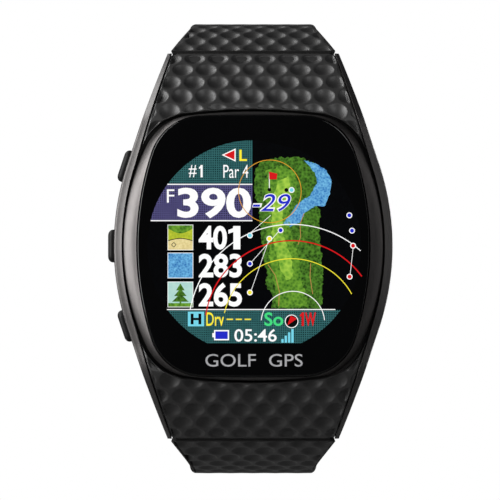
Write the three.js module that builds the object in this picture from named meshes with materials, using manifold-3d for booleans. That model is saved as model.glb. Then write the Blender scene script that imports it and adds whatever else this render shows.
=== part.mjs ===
// Golf GPS watch: a cushion-shaped watch head with three push-buttons, two fixed end plates
// and an unbuckled two-part rubber strap with a pin buckle.
// Millimetres. The dial faces -Y, 12 o'clock is +Z, 3 o'clock is +X.
// The origin is the centre of the wrist opening, behind the case back.
// "depth" is the distance back from the front of the lens.

import * as THREE from 'three';
import { mergeVertices } from 'three/addons/utils/BufferGeometryUtils.js';
import Module from 'manifold-3d';

const wasm = await Module();
wasm.setup();

// ---- Driving dimensions ----

const LENS_TO_WRIST = 38.5; // front of the lens to the wrist's centre
const GAP = 0.3; // running gap between neighbours that move or that one cuts
const SEAT = 0.1; // gap between parts stacked face to face

// Cushion outlines: four large arcs joined by corner arcs
const LENS = { halfWidth: 17.4, halfHeight: 19.6, sideRadius: 45, endRadius: 300, cornerRadius: 8 };
const BEZEL = { halfWidth: 19.65, halfHeight: 20.25, sideRadius: 34, endRadius: 80, cornerRadius: 8 };
const CAVITY = { halfWidth: 17.8, halfHeight: 18.2, sideRadius: 35.2, endRadius: 150, cornerRadius: 10 };
const BACK = { halfWidth: 19.9, halfHeight: 20.2, sideRadius: 37.3, endRadius: 150, cornerRadius: 4 };

// Case side rails: an arc at mid-height that runs on as straight tapering horns
const RAIL_HALF_WIDTH = 21.1;
const RAIL_RADIUS = 38.5;
const RAIL_ANGLE = THREE.MathUtils.degToRad(18.5);
const RAIL_END = 31; // height where the rail outline is closed, past the horn tips
const RAIL_WIDTH = 1.3;
const HORN_TIP_WIDTH = 0.6;
const HORN_TIP = 29.7; // height of the horn tips
const BODY_HALF_HEIGHT = 20.4;
const PAST_CASE = 22; // further from the middle than any part of the case reaches
const TAB_LOW = 14.6; // height where the end plates' corner tabs start
const TAB_REAR = 3.4;
const BAR_END = 13.5;
const BAR_HOLE_END = 13.65;

// Depths of the stack
const CASE_FRONT = 1.8;
const BEZEL_GAP = 0.25;
const BEZEL_SEAT = 2.2;
const FLANGE_BACK = 3.5;
const CASE_REAR = 11;
const BACK_REAR = 12.9;
const BACK_SCREW = { x: 14.6, z: 17 };
const CONTACT_X = [-4.5, -1.5, 1.5, 4.5];
const CONTACT_Z = -15.8;

// Outer line of each head: one arc from the bezel to the crease, headings measured from +Z towards +Y
const HEAD_START = { depth: 2.2, z: 20.5 };
const HEAD_RADIUS = 37;
const HEAD_HEADING = THREE.MathUtils.degToRad(37.5);
const CREASE_HEADING = THREE.MathUtils.degToRad(59);
const BAR_BELOW_CREASE = 3;
const BAR_RADIUS = 0.75;
const KNUCKLE_RADIUS = 2.6;
const KNUCKLE_HALF_WIDTH = 12;
const RELIEF_RADIUS = 2.9;

// Straps
const STRAP_HALF_WIDTH = 10.15;
const SHOULDER_LENGTH = 16;
const SHOULDER_EXTRA = 3.35;
const STRAP_END_HALF_WIDTH = 9;
const STRAP_THICKNESS = 3;
const ROOT_THICKNESS = 5.6;
const NOTCH = 1; // strap left out next to the crease, so it can open
const UPPER_RADIUS = 42.5;
const UPPER_BEND_RADIUS = 24;
const UPPER_STRAIGHT = 16;
const LOWER_RADIUS = 50;
const LOWER_BEND_RADIUS = 62;
const LOWER_BEND = THREE.MathUtils.degToRad(75);
const HOLE_COUNT = 9;
const HOLE_PITCH = 6.5;
const HOLE_RADIUS = 1.1;
const FIRST_HOLE_FROM_TIP = 15;

// Buckle
const LOOP_RADIUS = 2.1;
const SLOT_HALF_WIDTH = 1.35;
const FRAME_INSIDE = 9.4;
const FRAME_OUTSIDE = 11.2;
const FRAME_REACH = 10.6;
const FRAME_RISE = 2.6;
const CROSSBAR_RADIUS = 1.3;

// Keepers
const KEEPER_HEIGHT = 3.5;
const KEEPER_WALL = 1;
const KEEPER_ROOM = 0.45; // room beside the strap in a keeper

// Buttons
const BUTTON_ANGLE = THREE.MathUtils.degToRad(18.3);
const BUTTON_DEPTH = 7.3;
const BUTTON_LENGTH = 5;
const BUTTON_WIDTH = 2.2;
const BUTTON_PROUD = 1.05;
const STEM_RADIUS = 0.7;
const SEAL_RADIUS = 1.2;
const STEM_END = 34.9; // distance from the rail arc's centre to a stem's inner end
const BUTTON_TRAVEL_ROOM = 0.9;

// ---- Materials ----

const finish = (color, roughness, metalness) =>
  new THREE.MeshStandardMaterial({ color, roughness, metalness });
const GUNMETAL = [0x3c3b3a, 0.38, 0.8];
const RUBBER = [0x1a1a1a, 0.75, 0];
const STEEL = [0x9a9a9c, 0.3, 1];
const GOLD = [0xd8b25a, 0.25, 1];
const BLACK_PLASTIC = [0x101010, 0.5, 0];

// ---- Solids: joining and cutting ----

function solid(geometry) {
  const bare = geometry.clone();
  bare.deleteAttribute('normal');
  bare.deleteAttribute('uv');
  const merged = mergeVertices(bare, 1e-4);
  return new wasm.Manifold(new wasm.Mesh({
    numProp: 3,
    vertProperties: Float32Array.from(merged.attributes.position.array),
    triVerts: Uint32Array.from(merged.index.array),
  }));
}

function geometryOf(body) {
  const mesh = body.getMesh();
  const geometry = new THREE.BufferGeometry();
  geometry.setAttribute('position', new THREE.BufferAttribute(mesh.vertProperties, 3));
  geometry.setIndex(new THREE.BufferAttribute(mesh.triVerts, 1));
  geometry.computeVertexNormals();
  return geometry;
}

const cut = (body, ...tools) => tools.reduce((left, tool) => left.subtract(tool), body);
const join = (...bodies) => bodies.reduce((whole, body) => whole.add(body));

function part(name, geometry, look) {
  const mesh = new THREE.Mesh(geometry, finish(...look));
  mesh.name = name;
  return mesh;
}

// ---- Outlines ----

function arc(centreX, centreY, radius, from, to, steps) {
  const points = [];
  for (let i = 0; i <= steps; i += 1) {
    const angle = from + (to - from) * i / steps;
    points.push(new THREE.Vector2(centreX + radius * Math.cos(angle), centreY + radius * Math.sin(angle)));
  }
  return points;
}

function outline(points) {
  const kept = points.filter((point, i) => point.distanceTo(points.at(i - 1)) > 1e-3);
  return new THREE.Shape(kept);
}

// Closed outline of four large arcs and four corner arcs, tangent where they meet
function cushion({ halfWidth, halfHeight, sideRadius, endRadius, cornerRadius }) {
  const sideCentre = halfWidth - sideRadius;
  const endCentre = halfHeight - endRadius;
  const span = Math.hypot(sideCentre, endCentre);
  const toSide = sideRadius - cornerRadius;
  const toEnd = endRadius - cornerRadius;
  const along = (toSide ** 2 - toEnd ** 2 + span ** 2) / (2 * span);
  const across = Math.sqrt(toSide ** 2 - along ** 2);
  const cornerX = sideCentre - (along * sideCentre + across * endCentre) / span;
  const cornerZ = (along * endCentre - across * sideCentre) / span;
  const sideAngle = Math.atan2(cornerZ, cornerX - sideCentre);
  const endAngle = Math.atan2(cornerX, cornerZ - endCentre);
  const up = Math.PI / 2;
  const quarter = [
    ...arc(sideCentre, 0, sideRadius, 0, sideAngle, 4),
    ...arc(cornerX, cornerZ, cornerRadius, sideAngle, up - endAngle, 6),
    ...arc(0, endCentre, endRadius, up - endAngle, up, 2),
  ];
  const mirrored = (flipX, flipZ) => quarter.map((p) => new THREE.Vector2(p.x * flipX, p.y * flipZ));
  return outline([
    ...quarter,
    ...mirrored(-1, 1).reverse(),
    ...mirrored(-1, -1),
    ...mirrored(1, -1).reverse(),
  ]);
}

const inset = (shape, by) => ({
  halfWidth: shape.halfWidth - by,
  halfHeight: shape.halfHeight - by,
  sideRadius: shape.sideRadius - by,
  endRadius: shape.endRadius - by,
  cornerRadius: shape.cornerRadius - by,
});

// Outline of the case and its horns seen from the front, moved inwards by a distance at
// mid-height and by another at the horn tips
function railOutline(by, byAtTip = by) {
  const radius = RAIL_RADIUS - by;
  const centre = RAIL_HALF_WIDTH - RAIL_RADIUS;
  const side = arc(centre, 0, radius, -RAIL_ANGLE, RAIL_ANGLE, 9);
  const joinX = centre + radius * Math.cos(RAIL_ANGLE);
  const joinZ = radius * Math.sin(RAIL_ANGLE);
  const outerTipX = RAIL_HALF_WIDTH - RAIL_RADIUS * (1 - Math.cos(RAIL_ANGLE))
    - (HORN_TIP - RAIL_RADIUS * Math.sin(RAIL_ANGLE)) * Math.tan(RAIL_ANGLE);
  const slope = (joinX - outerTipX + byAtTip) / (HORN_TIP - joinZ);
  const tipX = joinX - (RAIL_END - joinZ) * slope;
  const right = [new THREE.Vector2(tipX, -RAIL_END), ...side, new THREE.Vector2(tipX, RAIL_END)];
  const left = right.map((p) => new THREE.Vector2(-p.x, -p.y));
  return outline([...right, ...left]);
}

// ---- Placing flat shapes ----

const y = (depth) => depth - LENS_TO_WRIST;

// A shape seen from the front, solid between two depths
function plate(shape, frontDepth, rearDepth) {
  const geometry = new THREE.ExtrudeGeometry(shape, { depth: rearDepth - frontDepth, bevelEnabled: false });
  geometry.rotateX(Math.PI / 2);
  return geometry.translate(0, y(rearDepth), 0);
}

// A shape in the (y, z) plane, solid across x
function across(shape, left, right) {
  const geometry = new THREE.ExtrudeGeometry(shape, { depth: right - left, bevelEnabled: false });
  const toWorld = new THREE.Matrix4().makeBasis(
    new THREE.Vector3(0, 1, 0),
    new THREE.Vector3(0, 0, 1),
    new THREE.Vector3(1, 0, 0),
  );
  return geometry.applyMatrix4(toWorld).translate(left, 0, 0);
}

// The same for points given as (depth, z)
const profile = (points, left, right) =>
  across(outline(points.map((p) => new THREE.Vector2(y(p.x), p.y))), left, right);

const at = (depth, z) => new THREE.Vector2(depth, z);

// A cylinder along x
function crossCylinder(centre, radius, left, right, sides = 24) {
  const geometry = new THREE.CylinderGeometry(radius, radius, right - left, sides);
  geometry.rotateZ(Math.PI / 2);
  return geometry.translate((left + right) / 2, y(centre.x), centre.y);
}

// A cylinder along y between two depths
function depthCylinder(x, z, radius, frontDepth, rearDepth, sides = 16) {
  const geometry = new THREE.CylinderGeometry(radius, radius, rearDepth - frontDepth, sides);
  return geometry.translate(x, y((frontDepth + rearDepth) / 2), z);
}

function block(left, right, frontDepth, rearDepth, low, high) {
  const geometry = new THREE.BoxGeometry(right - left, rearDepth - frontDepth, high - low);
  return geometry.translate((left + right) / 2, y((frontDepth + rearDepth) / 2), (low + high) / 2);
}

// ---- Outer lines of head and strap ----

// Point and heading after a length along a chain of arcs and straights
function follow(start, pieces, length) {
  const place = { ...start };
  let left = length;
  for (const piece of pieces) {
    const run = Math.min(left, piece.length);
    const turn = piece.radius ? run / piece.radius : 0;
    if (piece.radius) {
      place.depth += piece.radius * (Math.cos(place.heading) - Math.cos(place.heading + turn));
      place.z += piece.radius * (Math.sin(place.heading + turn) - Math.sin(place.heading));
    } else {
      place.depth += run * Math.sin(place.heading);
      place.z += run * Math.cos(place.heading);
    }
    place.heading += turn;
    left -= run;
  }
  return place;
}

const HEAD_LINE = [{ radius: HEAD_RADIUS, length: HEAD_RADIUS * (CREASE_HEADING - HEAD_HEADING) }];
const HEAD_ORIGIN = { ...HEAD_START, heading: HEAD_HEADING };
const CREASE = follow(HEAD_ORIGIN, HEAD_LINE, HEAD_LINE[0].length);
const BAR = at(
  CREASE.depth + BAR_BELOW_CREASE * Math.cos(CREASE_HEADING),
  CREASE.z - BAR_BELOW_CREASE * Math.sin(CREASE_HEADING),
);

function headArc(fromLength) {
  const steps = 6;
  const points = [];
  for (let i = 0; i <= steps; i += 1) {
    const place = follow(HEAD_ORIGIN, HEAD_LINE, fromLength + (HEAD_LINE[0].length - fromLength) * i / steps);
    points.push(at(place.depth, place.z));
  }
  return points;
}

const UPPER_LINE = [
  { radius: UPPER_RADIUS, length: UPPER_RADIUS * (Math.PI / 2 - CREASE_HEADING) },
  { radius: UPPER_BEND_RADIUS, length: UPPER_BEND_RADIUS * Math.PI / 2 },
  { length: UPPER_STRAIGHT },
];
const LOWER_LINE = [
  { radius: LOWER_RADIUS, length: LOWER_RADIUS * (Math.PI / 2 - CREASE_HEADING) },
  { radius: LOWER_BEND_RADIUS, length: LOWER_BEND_RADIUS * LOWER_BEND },
];
const lengthOf = (line) => line.reduce((sum, piece) => sum + piece.length, 0);

// ---- Case ----

// Seat strip between the horns that carries an end plate, as (depth, z)
const FLOOR = [at(11, 19.5), at(11, 20.4), at(14.2, 24), at(13.23, 24.86), at(10.03, 21.26), at(9.4, 19.5)];
const FLOOR_SCREW = { depth: 11.5, z: 21.96, x: 8 };
const FLOOR_TILT = Math.atan2(3.2, 3.6);

function horns() {
  const shell = cut(
    solid(plate(railOutline(0), 0, 20)),
    solid(plate(railOutline(RAIL_WIDTH, HORN_TIP_WIDTH), -1, 21)),
  );
  const web = [
    at(CASE_FRONT, 17),
    ...headArc(0),
    BAR,
    at(BAR.x + KNUCKLE_RADIUS * 0.7, BAR.y - KNUCKLE_RADIUS * 0.7),
    at(CASE_REAR, 20.4),
    at(CASE_REAR, 17),
  ];
  const tip = solid(crossCylinder(BAR, KNUCKLE_RADIUS, -PAST_CASE, PAST_CASE));
  const upper = join(solid(profile(web, -PAST_CASE, PAST_CASE)), tip).intersect(shell);
  const floor = cut(
    solid(profile(FLOOR, -17, 17)),
    solid(crossCylinder(BAR, RELIEF_RADIUS, -PAST_CASE, PAST_CASE)),
  ).intersect(solid(plate(railOutline(RAIL_WIDTH / 2, HORN_TIP_WIDTH / 2), 0, 20)));
  return join(upper, floor);
}

const halfTurn = (body) => body.rotate([0, 180, 0]);

// Upright capsule outline centred on the origin
function capsule(length, width) {
  const radius = width / 2;
  const reach = length / 2 - radius;
  return outline([
    ...arc(0, reach, radius, 0, Math.PI, 8),
    ...arc(0, -reach, radius, Math.PI, 2 * Math.PI, 8),
  ]);
}

// Button parts are made with the rail arc's centre as origin and -X pointing out of the case
const RAIL_CENTRE = new THREE.Vector3(RAIL_RADIUS - RAIL_HALF_WIDTH, y(BUTTON_DEPTH), 0);
const BUTTON_SEAT = RAIL_RADIUS - 1.2; // radius of the pocket's floor

function stemCylinder(radius, inner, outer) {
  const geometry = new THREE.CylinderGeometry(radius, radius, outer - inner, 16);
  return geometry.rotateZ(Math.PI / 2).translate(-(inner + outer) / 2, 0, 0);
}

function buttonHole(angle) {
  const mouth = capsule(BUTTON_LENGTH + 2 * GAP, BUTTON_WIDTH + 2 * GAP);
  const pocket = across(mouth, -RAIL_RADIUS - 3, -BUTTON_SEAT);
  const seal = stemCylinder(SEAL_RADIUS + SEAT, RAIL_RADIUS - 2.6, BUTTON_SEAT + SEAT);
  const bore = stemCylinder(STEM_RADIUS + 0.15, RAIL_RADIUS - 6, BUTTON_SEAT);
  const hole = join(solid(pocket), solid(seal), solid(bore));
  return hole.rotate([0, THREE.MathUtils.radToDeg(angle), 0]).translate(RAIL_CENTRE.toArray());
}

function screwHole(x, z, radius, frontDepth, rearDepth) {
  return solid(depthCylinder(x, z, radius, frontDepth, rearDepth));
}

const fourCorners = [[-1, 1], [1, 1], [1, -1], [-1, -1]];

// Tilted cylinder through the seat strip, square to it, for the end plate's screws
function floorCylinder(side, radius, below, above) {
  const geometry = new THREE.CylinderGeometry(radius, radius, below + above, 16);
  geometry.translate(0, (below - above) / 2, 0).rotateX(-FLOOR_TILT);
  return geometry.translate(side * FLOOR_SCREW.x, y(FLOOR_SCREW.depth), FLOOR_SCREW.z);
}

// Recess beside the bezel's corners for an end plate's tabs
function tabRecess() {
  const room = solid(block(-18, 18, 0, TAB_REAR + GAP, TAB_LOW - GAP, BODY_HALF_HEIGHT + 5));
  return cut(
    room.intersect(solid(plate(railOutline(RAIL_WIDTH, HORN_TIP_WIDTH), 0, 5))),
    solid(plate(cushion(inset(BEZEL, -BEZEL_GAP)), BEZEL_SEAT, 6)),
  );
}

function midCaseGeometry() {
  const slab = solid(block(-25, 25, CASE_FRONT, CASE_REAR, -BODY_HALF_HEIGHT, BODY_HALF_HEIGHT));
  const body = solid(plate(railOutline(0), CASE_FRONT, CASE_REAR)).intersect(slab);
  const ends = [horns(), halfTurn(horns())];
  const barHoles = solid(crossCylinder(BAR, BAR_RADIUS + SEAT, -BAR_HOLE_END, BAR_HOLE_END));
  const floorHoles = join(...[-1, 1].map((side) => solid(floorCylinder(side, 0.85, 3, 3))));
  return geometryOf(cut(
    join(body, ...ends),
    solid(plate(cushion(inset(BEZEL, -BEZEL_GAP)), 0, BEZEL_SEAT)),
    tabRecess(),
    halfTurn(tabRecess()),
    solid(plate(cushion(inset(LENS, 0.8)), 0, CASE_REAR - 4)),
    solid(plate(cushion(CAVITY), FLANGE_BACK, 20)),
    barHoles,
    halfTurn(barHoles),
    floorHoles,
    halfTurn(floorHoles),
    ...[BUTTON_ANGLE, 0, -BUTTON_ANGLE].map(buttonHole),
    ...fourCorners.map(([sx, sz]) => screwHole(sx * BACK_SCREW.x, sz * BACK_SCREW.z, 0.8, 6.5, 20)),
  ));
}

function ring(outer, inner, frontDepth, rearDepth) {
  const shape = cushion(outer);
  shape.holes.push(new THREE.Path(cushion(inner).getPoints().reverse()));
  return plate(shape, frontDepth, rearDepth);
}

function springBar(name) {
  return part(name, crossCylinder(BAR, BAR_RADIUS, -BAR_END, BAR_END, 12), STEEL);
}

// Dimpled head between the horns, from the bezel to the crease
function endPlate(name) {
  const side = [
    at(CASE_FRONT, TAB_LOW),
    at(CASE_FRONT, 19.6),
    ...headArc(GAP),
    BAR,
    at(12.5, 24.86),
    at(9.5, 21.5),
    at(9.1, BODY_HALF_HEIGHT + GAP),
    at(TAB_REAR, BODY_HALF_HEIGHT + GAP),
    at(TAB_REAR, TAB_LOW),
  ];
  const body = cut(
    solid(profile(side, -18, 18)).intersect(
      solid(plate(railOutline(RAIL_WIDTH + GAP, HORN_TIP_WIDTH + GAP), 0, 20)),
    ),
    solid(plate(cushion(inset(BEZEL, -BEZEL_GAP - GAP)), 0, 5)),
  );
  const screwHoles = [-1, 1].map((left) => solid(floorCylinder(left, 0.8, 1, 4.6)));
  return part(name, geometryOf(cut(
    body,
    solid(crossCylinder(BAR, RELIEF_RADIUS, -PAST_CASE, PAST_CASE)),
    ...screwHoles,
  )), RUBBER);
}

// Screw from the wrist side through the seat strip into the end plate
function endPlateScrew(name, side) {
  const head = solid(floorCylinder(side, 1.2, 1.4, -0.75));
  const shank = solid(floorCylinder(side, 0.65, 1, 4.2));
  return part(name, geometryOf(join(head, shank)), STEEL);
}

function frontLens() {
  const geometry = new THREE.ExtrudeGeometry(cushion(inset(LENS, 0.3)), {
    depth: 0.9, bevelEnabled: true, bevelThickness: 0.3, bevelSize: 0.3, bevelSegments: 1,
  });
  geometry.rotateX(Math.PI / 2).translate(0, y(1.2), 0);
  return part('front_lens', geometry, [0x050505, 0.05, 0]);
}

// ---- Inside the case ----

function displayPanel() {
  const flat = -15;
  const radius = 16.35;
  const start = Math.asin(flat / radius);
  const shape = outline(arc(0, 0, radius, start, Math.PI - start, 32));
  return part('display_panel', plate(shape, BEZEL_SEAT + SEAT, 3.4), [0x0c1418, 0.2, 0]);
}

function displayFrame() {
  const frame = solid(plate(cushion(inset(CAVITY, 0.4)), 3.7, 4.7));
  const cableNotch = solid(block(-5.5, 5.5, 0, 9, -20, -14.8));
  const window = solid(depthCylinder(0, 0, 11, 0, 9, 32));
  return part('display_frame', geometryOf(cut(frame, cableNotch, window)), BLACK_PLASTIC);
}

function displayCable() {
  const bend = [at(2.75, -15.3), at(2.75, -16.9), at(4.85, -16.9), at(4.85, -15.3)];
  const inside = [at(4.6, -15.3), at(4.6, -16.65), at(3, -16.65), at(3, -15.3)];
  return part('display_cable', profile([...bend, ...inside], -4.5, 4.5), [0xb06a1c, 0.5, 0]);
}

function insideParts() {
  const board = plate(cushion(inset(CAVITY, 0.6)), 5, 6);
  const motor = depthCylinder(11.6, 10.8, 4, 6.2, 8.9, 24);
  return [
    displayPanel(),
    displayFrame(),
    displayCable(),
    part('main_board', board, [0x0e4a2a, 0.5, 0]),
    part('battery', block(-10.5, 10.5, 6.2, 10.1, -13.6, 4.8), [0xb9bcc0, 0.4, 0.5]),
    part('gps_antenna', block(-5.6, 5.6, 6.2, 9.4, 5.6, 16.8), [0xd9d2c0, 0.6, 0]),
    part('vibration_motor', motor, STEEL),
    part('lens_gasket', ring(inset(LENS, 0.15), inset(LENS, 0.7), 1.6, 2.1), RUBBER),
    part('case_back_gasket', ring(inset(CAVITY, 0.15), inset(CAVITY, 0.9), 10.3, 11), RUBBER),
  ];
}

// ---- Case back ----

function caseBack() {
  const contactHoles = CONTACT_X.map((x) => screwHole(x, CONTACT_Z, 0.9, 0, 20));
  const screws = fourCorners.flatMap(([sx, sz]) => [
    screwHole(sx * BACK_SCREW.x, sz * BACK_SCREW.z, 0.8, 0, 20),
    screwHole(sx * BACK_SCREW.x, sz * BACK_SCREW.z, 1.25, 12, 20),
  ]);
  const rim = solid(plate(cushion(BACK), CASE_REAR + SEAT, BACK_REAR));
  return part('case_back', geometryOf(cut(rim, ...contactHoles, ...screws)), [0x2a2a2b, 0.5, 0.3]);
}

function backScrew(name) {
  const head = solid(depthCylinder(0, 0, 1.1, 12.1, 12.8));
  const shank = solid(depthCylinder(0, 0, 0.65, 7, 12.3));
  return part(name, geometryOf(join(head, shank)), STEEL);
}

function caseBackParts() {
  const screws = fourCorners.map(([sx, sz], i) => {
    const screw = backScrew(`case_back_screw_${i + 1}`);
    screw.position.set(sx * BACK_SCREW.x, 0, sz * BACK_SCREW.z);
    return screw;
  });
  const contacts = CONTACT_X.map((x, i) => {
    const contact = part(`charging_contact_${i + 1}`, depthCylinder(0, 0, 0.7, 10.4, 12.85), GOLD);
    contact.position.set(x, 0, CONTACT_Z);
    return contact;
  });
  const holder = part('contact_block', block(-6, 6, 8.9, 10.1, -17, -14.4), BLACK_PLASTIC);
  return [caseBack(), ...screws, holder, ...contacts];
}

// ---- Buttons ----

function buttonParts(place, angle) {
  const top = capsule(BUTTON_LENGTH, BUTTON_WIDTH);
  const cap = solid(across(top, -RAIL_RADIUS - BUTTON_PROUD, -BUTTON_SEAT - 0.75));
  const stem = solid(stemCylinder(STEM_RADIUS, STEM_END, RAIL_RADIUS));
  const button = part(`${place}_button`, geometryOf(join(cap, stem)), [0x121212, 0.4, 0.1]);
  const seal = cut(
    solid(stemCylinder(SEAL_RADIUS, RAIL_RADIUS - 2.4, BUTTON_SEAT - 0.2)),
    solid(stemCylinder(STEM_RADIUS + SEAT, 30, 40)),
  );
  const gasket = part(`${place}_button_gasket`, geometryOf(seal), RUBBER);
  const switchFront = STEM_END - BUTTON_TRAVEL_ROOM;
  const body = new THREE.BoxGeometry(2.4, 2.1, 3.2).translate(-(switchFront - 1.2), 0, 0);
  const tact = part(`${place}_switch`, body, BLACK_PLASTIC);
  const group = new THREE.Group();
  group.position.copy(RAIL_CENTRE);
  group.rotation.y = angle;
  group.add(button, gasket, tact);
  return group;
}

// ---- Straps ----

function strapHalfWidth(length) {
  const shoulder = SHOULDER_EXTRA * Math.max(0, 1 - length / SHOULDER_LENGTH) ** 1.6;
  const taper = THREE.MathUtils.smoothstep(length, 20, 50);
  return STRAP_HALF_WIDTH + shoulder + (STRAP_END_HALF_WIDTH - STRAP_HALF_WIDTH) * taper;
}

function strapThickness(length) {
  const root = Math.max(0, 1 - length / 12) ** 2;
  return STRAP_THICKNESS + (ROOT_THICKNESS - STRAP_THICKNESS) * root;
}

// A strip bent along the strap's outer line; halfWidth is a function of length from the crease
function strapStrip(line, from, to, steps, halfWidth) {
  const strip = new THREE.BoxGeometry(1, 1, 1, 1, 1, steps);
  const points = strip.attributes.position;
  for (let i = 0; i < points.count; i += 1) {
    const length = from + (to - from) * (points.getZ(i) + 0.5);
    const outer = follow({ ...CREASE }, line, length);
    const inwards = (points.getY(i) + 0.5) * strapThickness(length);
    points.setXYZ(
      i,
      2 * points.getX(i) * halfWidth(length),
      y(outer.depth + inwards * Math.cos(outer.heading)),
      outer.z - inwards * Math.sin(outer.heading),
    );
  }
  return strip;
}

// Strap next to the case, with the knuckle that turns on the spring bar
function strapRoot(name, line) {
  const strip = solid(strapStrip(line, NOTCH, line[0].length - GAP / 2, 6, strapHalfWidth));
  const reliefs = [[-PAST_CASE, -KNUCKLE_HALF_WIDTH], [KNUCKLE_HALF_WIDTH, PAST_CASE]].map(
    ([left, right]) => solid(crossCylinder(BAR, RELIEF_RADIUS, left, right)),
  );
  const knuckle = solid(crossCylinder(BAR, KNUCKLE_RADIUS, -KNUCKLE_HALF_WIDTH, KNUCKLE_HALF_WIDTH));
  const bore = solid(crossCylinder(BAR, BAR_RADIUS + 0.15, -PAST_CASE, PAST_CASE, 16));
  return part(name, geometryOf(cut(join(cut(strip, ...reliefs), knuckle), bore)), RUBBER);
}

const UPPER_END = follow({ ...CREASE }, UPPER_LINE, lengthOf(UPPER_LINE));
const BUCKLE_BAR = at(UPPER_END.depth - STRAP_THICKNESS / 2, UPPER_END.z);

// Rest of the buckle-side strap, ending in a slotted loop round the buckle's bar
function upperStrapEnd() {
  const strip = solid(strapStrip(
    UPPER_LINE, UPPER_LINE[0].length + GAP / 2, lengthOf(UPPER_LINE), 18, strapHalfWidth,
  ));
  const loop = solid(crossCylinder(BUCKLE_BAR, LOOP_RADIUS, -STRAP_END_HALF_WIDTH, STRAP_END_HALF_WIDTH));
  const slot = solid(block(
    -SLOT_HALF_WIDTH, SLOT_HALF_WIDTH, BUCKLE_BAR.x - 5, BUCKLE_BAR.x + 5, BUCKLE_BAR.y - 5, BUCKLE_BAR.y + 3,
  ));
  const bore = solid(crossCylinder(BUCKLE_BAR, BAR_RADIUS + 0.15, -PAST_CASE, PAST_CASE, 16));
  return part('upper_strap_end', geometryOf(cut(join(strip, loop), slot, bore)), RUBBER);
}

// Rest of the hole-side strap, with a round tip
function lowerStrapTail() {
  const total = lengthOf(LOWER_LINE);
  const tipHalfWidth = (length) => {
    const pastCentre = Math.max(0, length - (total - STRAP_END_HALF_WIDTH)) / STRAP_END_HALF_WIDTH;
    return Math.max(2.5, strapHalfWidth(length) * Math.sqrt(Math.max(0, 1 - pastCentre ** 2)));
  };
  const strip = solid(strapStrip(LOWER_LINE, LOWER_LINE[0].length + GAP / 2, total, 30, tipHalfWidth));
  const holes = [];
  for (let i = 0; i < HOLE_COUNT; i += 1) {
    const place = follow({ ...CREASE }, LOWER_LINE, total - FIRST_HOLE_FROM_TIP - i * HOLE_PITCH);
    const hole = new THREE.CylinderGeometry(HOLE_RADIUS, HOLE_RADIUS, 10, 10);
    hole.rotateX(Math.PI - place.heading).translate(0, y(place.depth), place.z);
    holes.push(solid(hole));
  }
  return part('lower_strap_tail', geometryOf(cut(strip, ...holes)), RUBBER);
}

// ---- Buckle and keepers ----

const buckleAt = (out, down) => at(BUCKLE_BAR.x + out, BUCKLE_BAR.y - down);

function buckleFrame() {
  const rail = [
    buckleAt(-1, -1.5), buckleAt(1.1, -1.5), buckleAt(1.9, 0.5), buckleAt(3.6, 6), buckleAt(3.9, FRAME_REACH),
    buckleAt(1.3, FRAME_REACH), buckleAt(1, 6.6), buckleAt(-0.9, 1.9), buckleAt(-1.8, 0),
  ];
  const crossbar = solid(crossCylinder(
    buckleAt(FRAME_RISE, FRAME_REACH), CROSSBAR_RADIUS, -FRAME_OUTSIDE, FRAME_OUTSIDE, 16,
  ));
  const rails = [[-FRAME_OUTSIDE, -FRAME_INSIDE], [FRAME_INSIDE, FRAME_OUTSIDE]].map(
    ([left, right]) => solid(profile(rail, left, right)),
  );
  const holes = solid(crossCylinder(BUCKLE_BAR, BAR_RADIUS + SEAT, -10.9, 10.9, 16));
  return part('buckle_frame', geometryOf(cut(join(crossbar, ...rails), holes)), [0x2c2c2e, 0.35, 0.9]);
}

function buckleTongue() {
  const finger = [buckleAt(1.7, 0.4), buckleAt(0.7, 1), buckleAt(4.7, 12), buckleAt(5.7, 11.7)];
  const eye = solid(crossCylinder(BUCKLE_BAR, 1.75, -1, 1));
  const bore = solid(crossCylinder(BUCKLE_BAR, BAR_RADIUS + 0.15, -5, 5, 16));
  return part('buckle_tongue', geometryOf(cut(join(eye, solid(profile(finger, -1, 1))), bore)), STEEL);
}

// Loop round the strap, with room for the tail outside it
function keeper(name, low) {
  const halfWidth = STRAP_END_HALF_WIDTH + KEEPER_ROOM;
  const inner = y(UPPER_END.depth - STRAP_THICKNESS - 0.35);
  const outer = y(UPPER_END.depth + STRAP_THICKNESS + 0.4);
  const loop = (by) => [
    [-halfWidth - by, inner - by],
    [halfWidth + by, inner - by],
    [halfWidth + by, outer + by],
    [-halfWidth - by, outer + by],
  ].map(([px, py]) => new THREE.Vector2(px, py));
  const shape = new THREE.Shape(loop(KEEPER_WALL));
  shape.holes.push(new THREE.Path(loop(0).reverse()));
  const geometry = new THREE.ExtrudeGeometry(shape, { depth: KEEPER_HEIGHT, bevelEnabled: false });
  const mesh = part(name, geometry, RUBBER);
  mesh.position.z = low;
  return mesh;
}

const FIXED_KEEPER_LOW = UPPER_END.z + 3.4;
const FREE_KEEPER_LOW = FIXED_KEEPER_LOW + KEEPER_HEIGHT + 0.6;

// ---- Assembly ----

function add(parent, ...children) {
  parent.add(...children);
  return parent;
}

const watchHead = add(
  new THREE.Group(),
  part('mid_case', midCaseGeometry(), GUNMETAL),
  part('bezel', ring(BEZEL, inset(LENS, -0.15), 0.35, BEZEL_SEAT - SEAT), [0x3a3a3a, 0.3, 0.9]),
  frontLens(),
  ...insideParts(),
  ...caseBackParts(),
  buttonParts('upper', BUTTON_ANGLE),
  buttonParts('middle', 0),
  buttonParts('lower', -BUTTON_ANGLE),
);

// Everything at one end of the case is made as the 12 o'clock end
function caseEnd(place) {
  return add(
    new THREE.Group(),
    endPlate(`${place}_end_plate`),
    springBar(`${place}_spring_bar`),
    endPlateScrew(`${place}_end_plate_screw_1`, -1),
    endPlateScrew(`${place}_end_plate_screw_2`, 1),
  );
}

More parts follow.
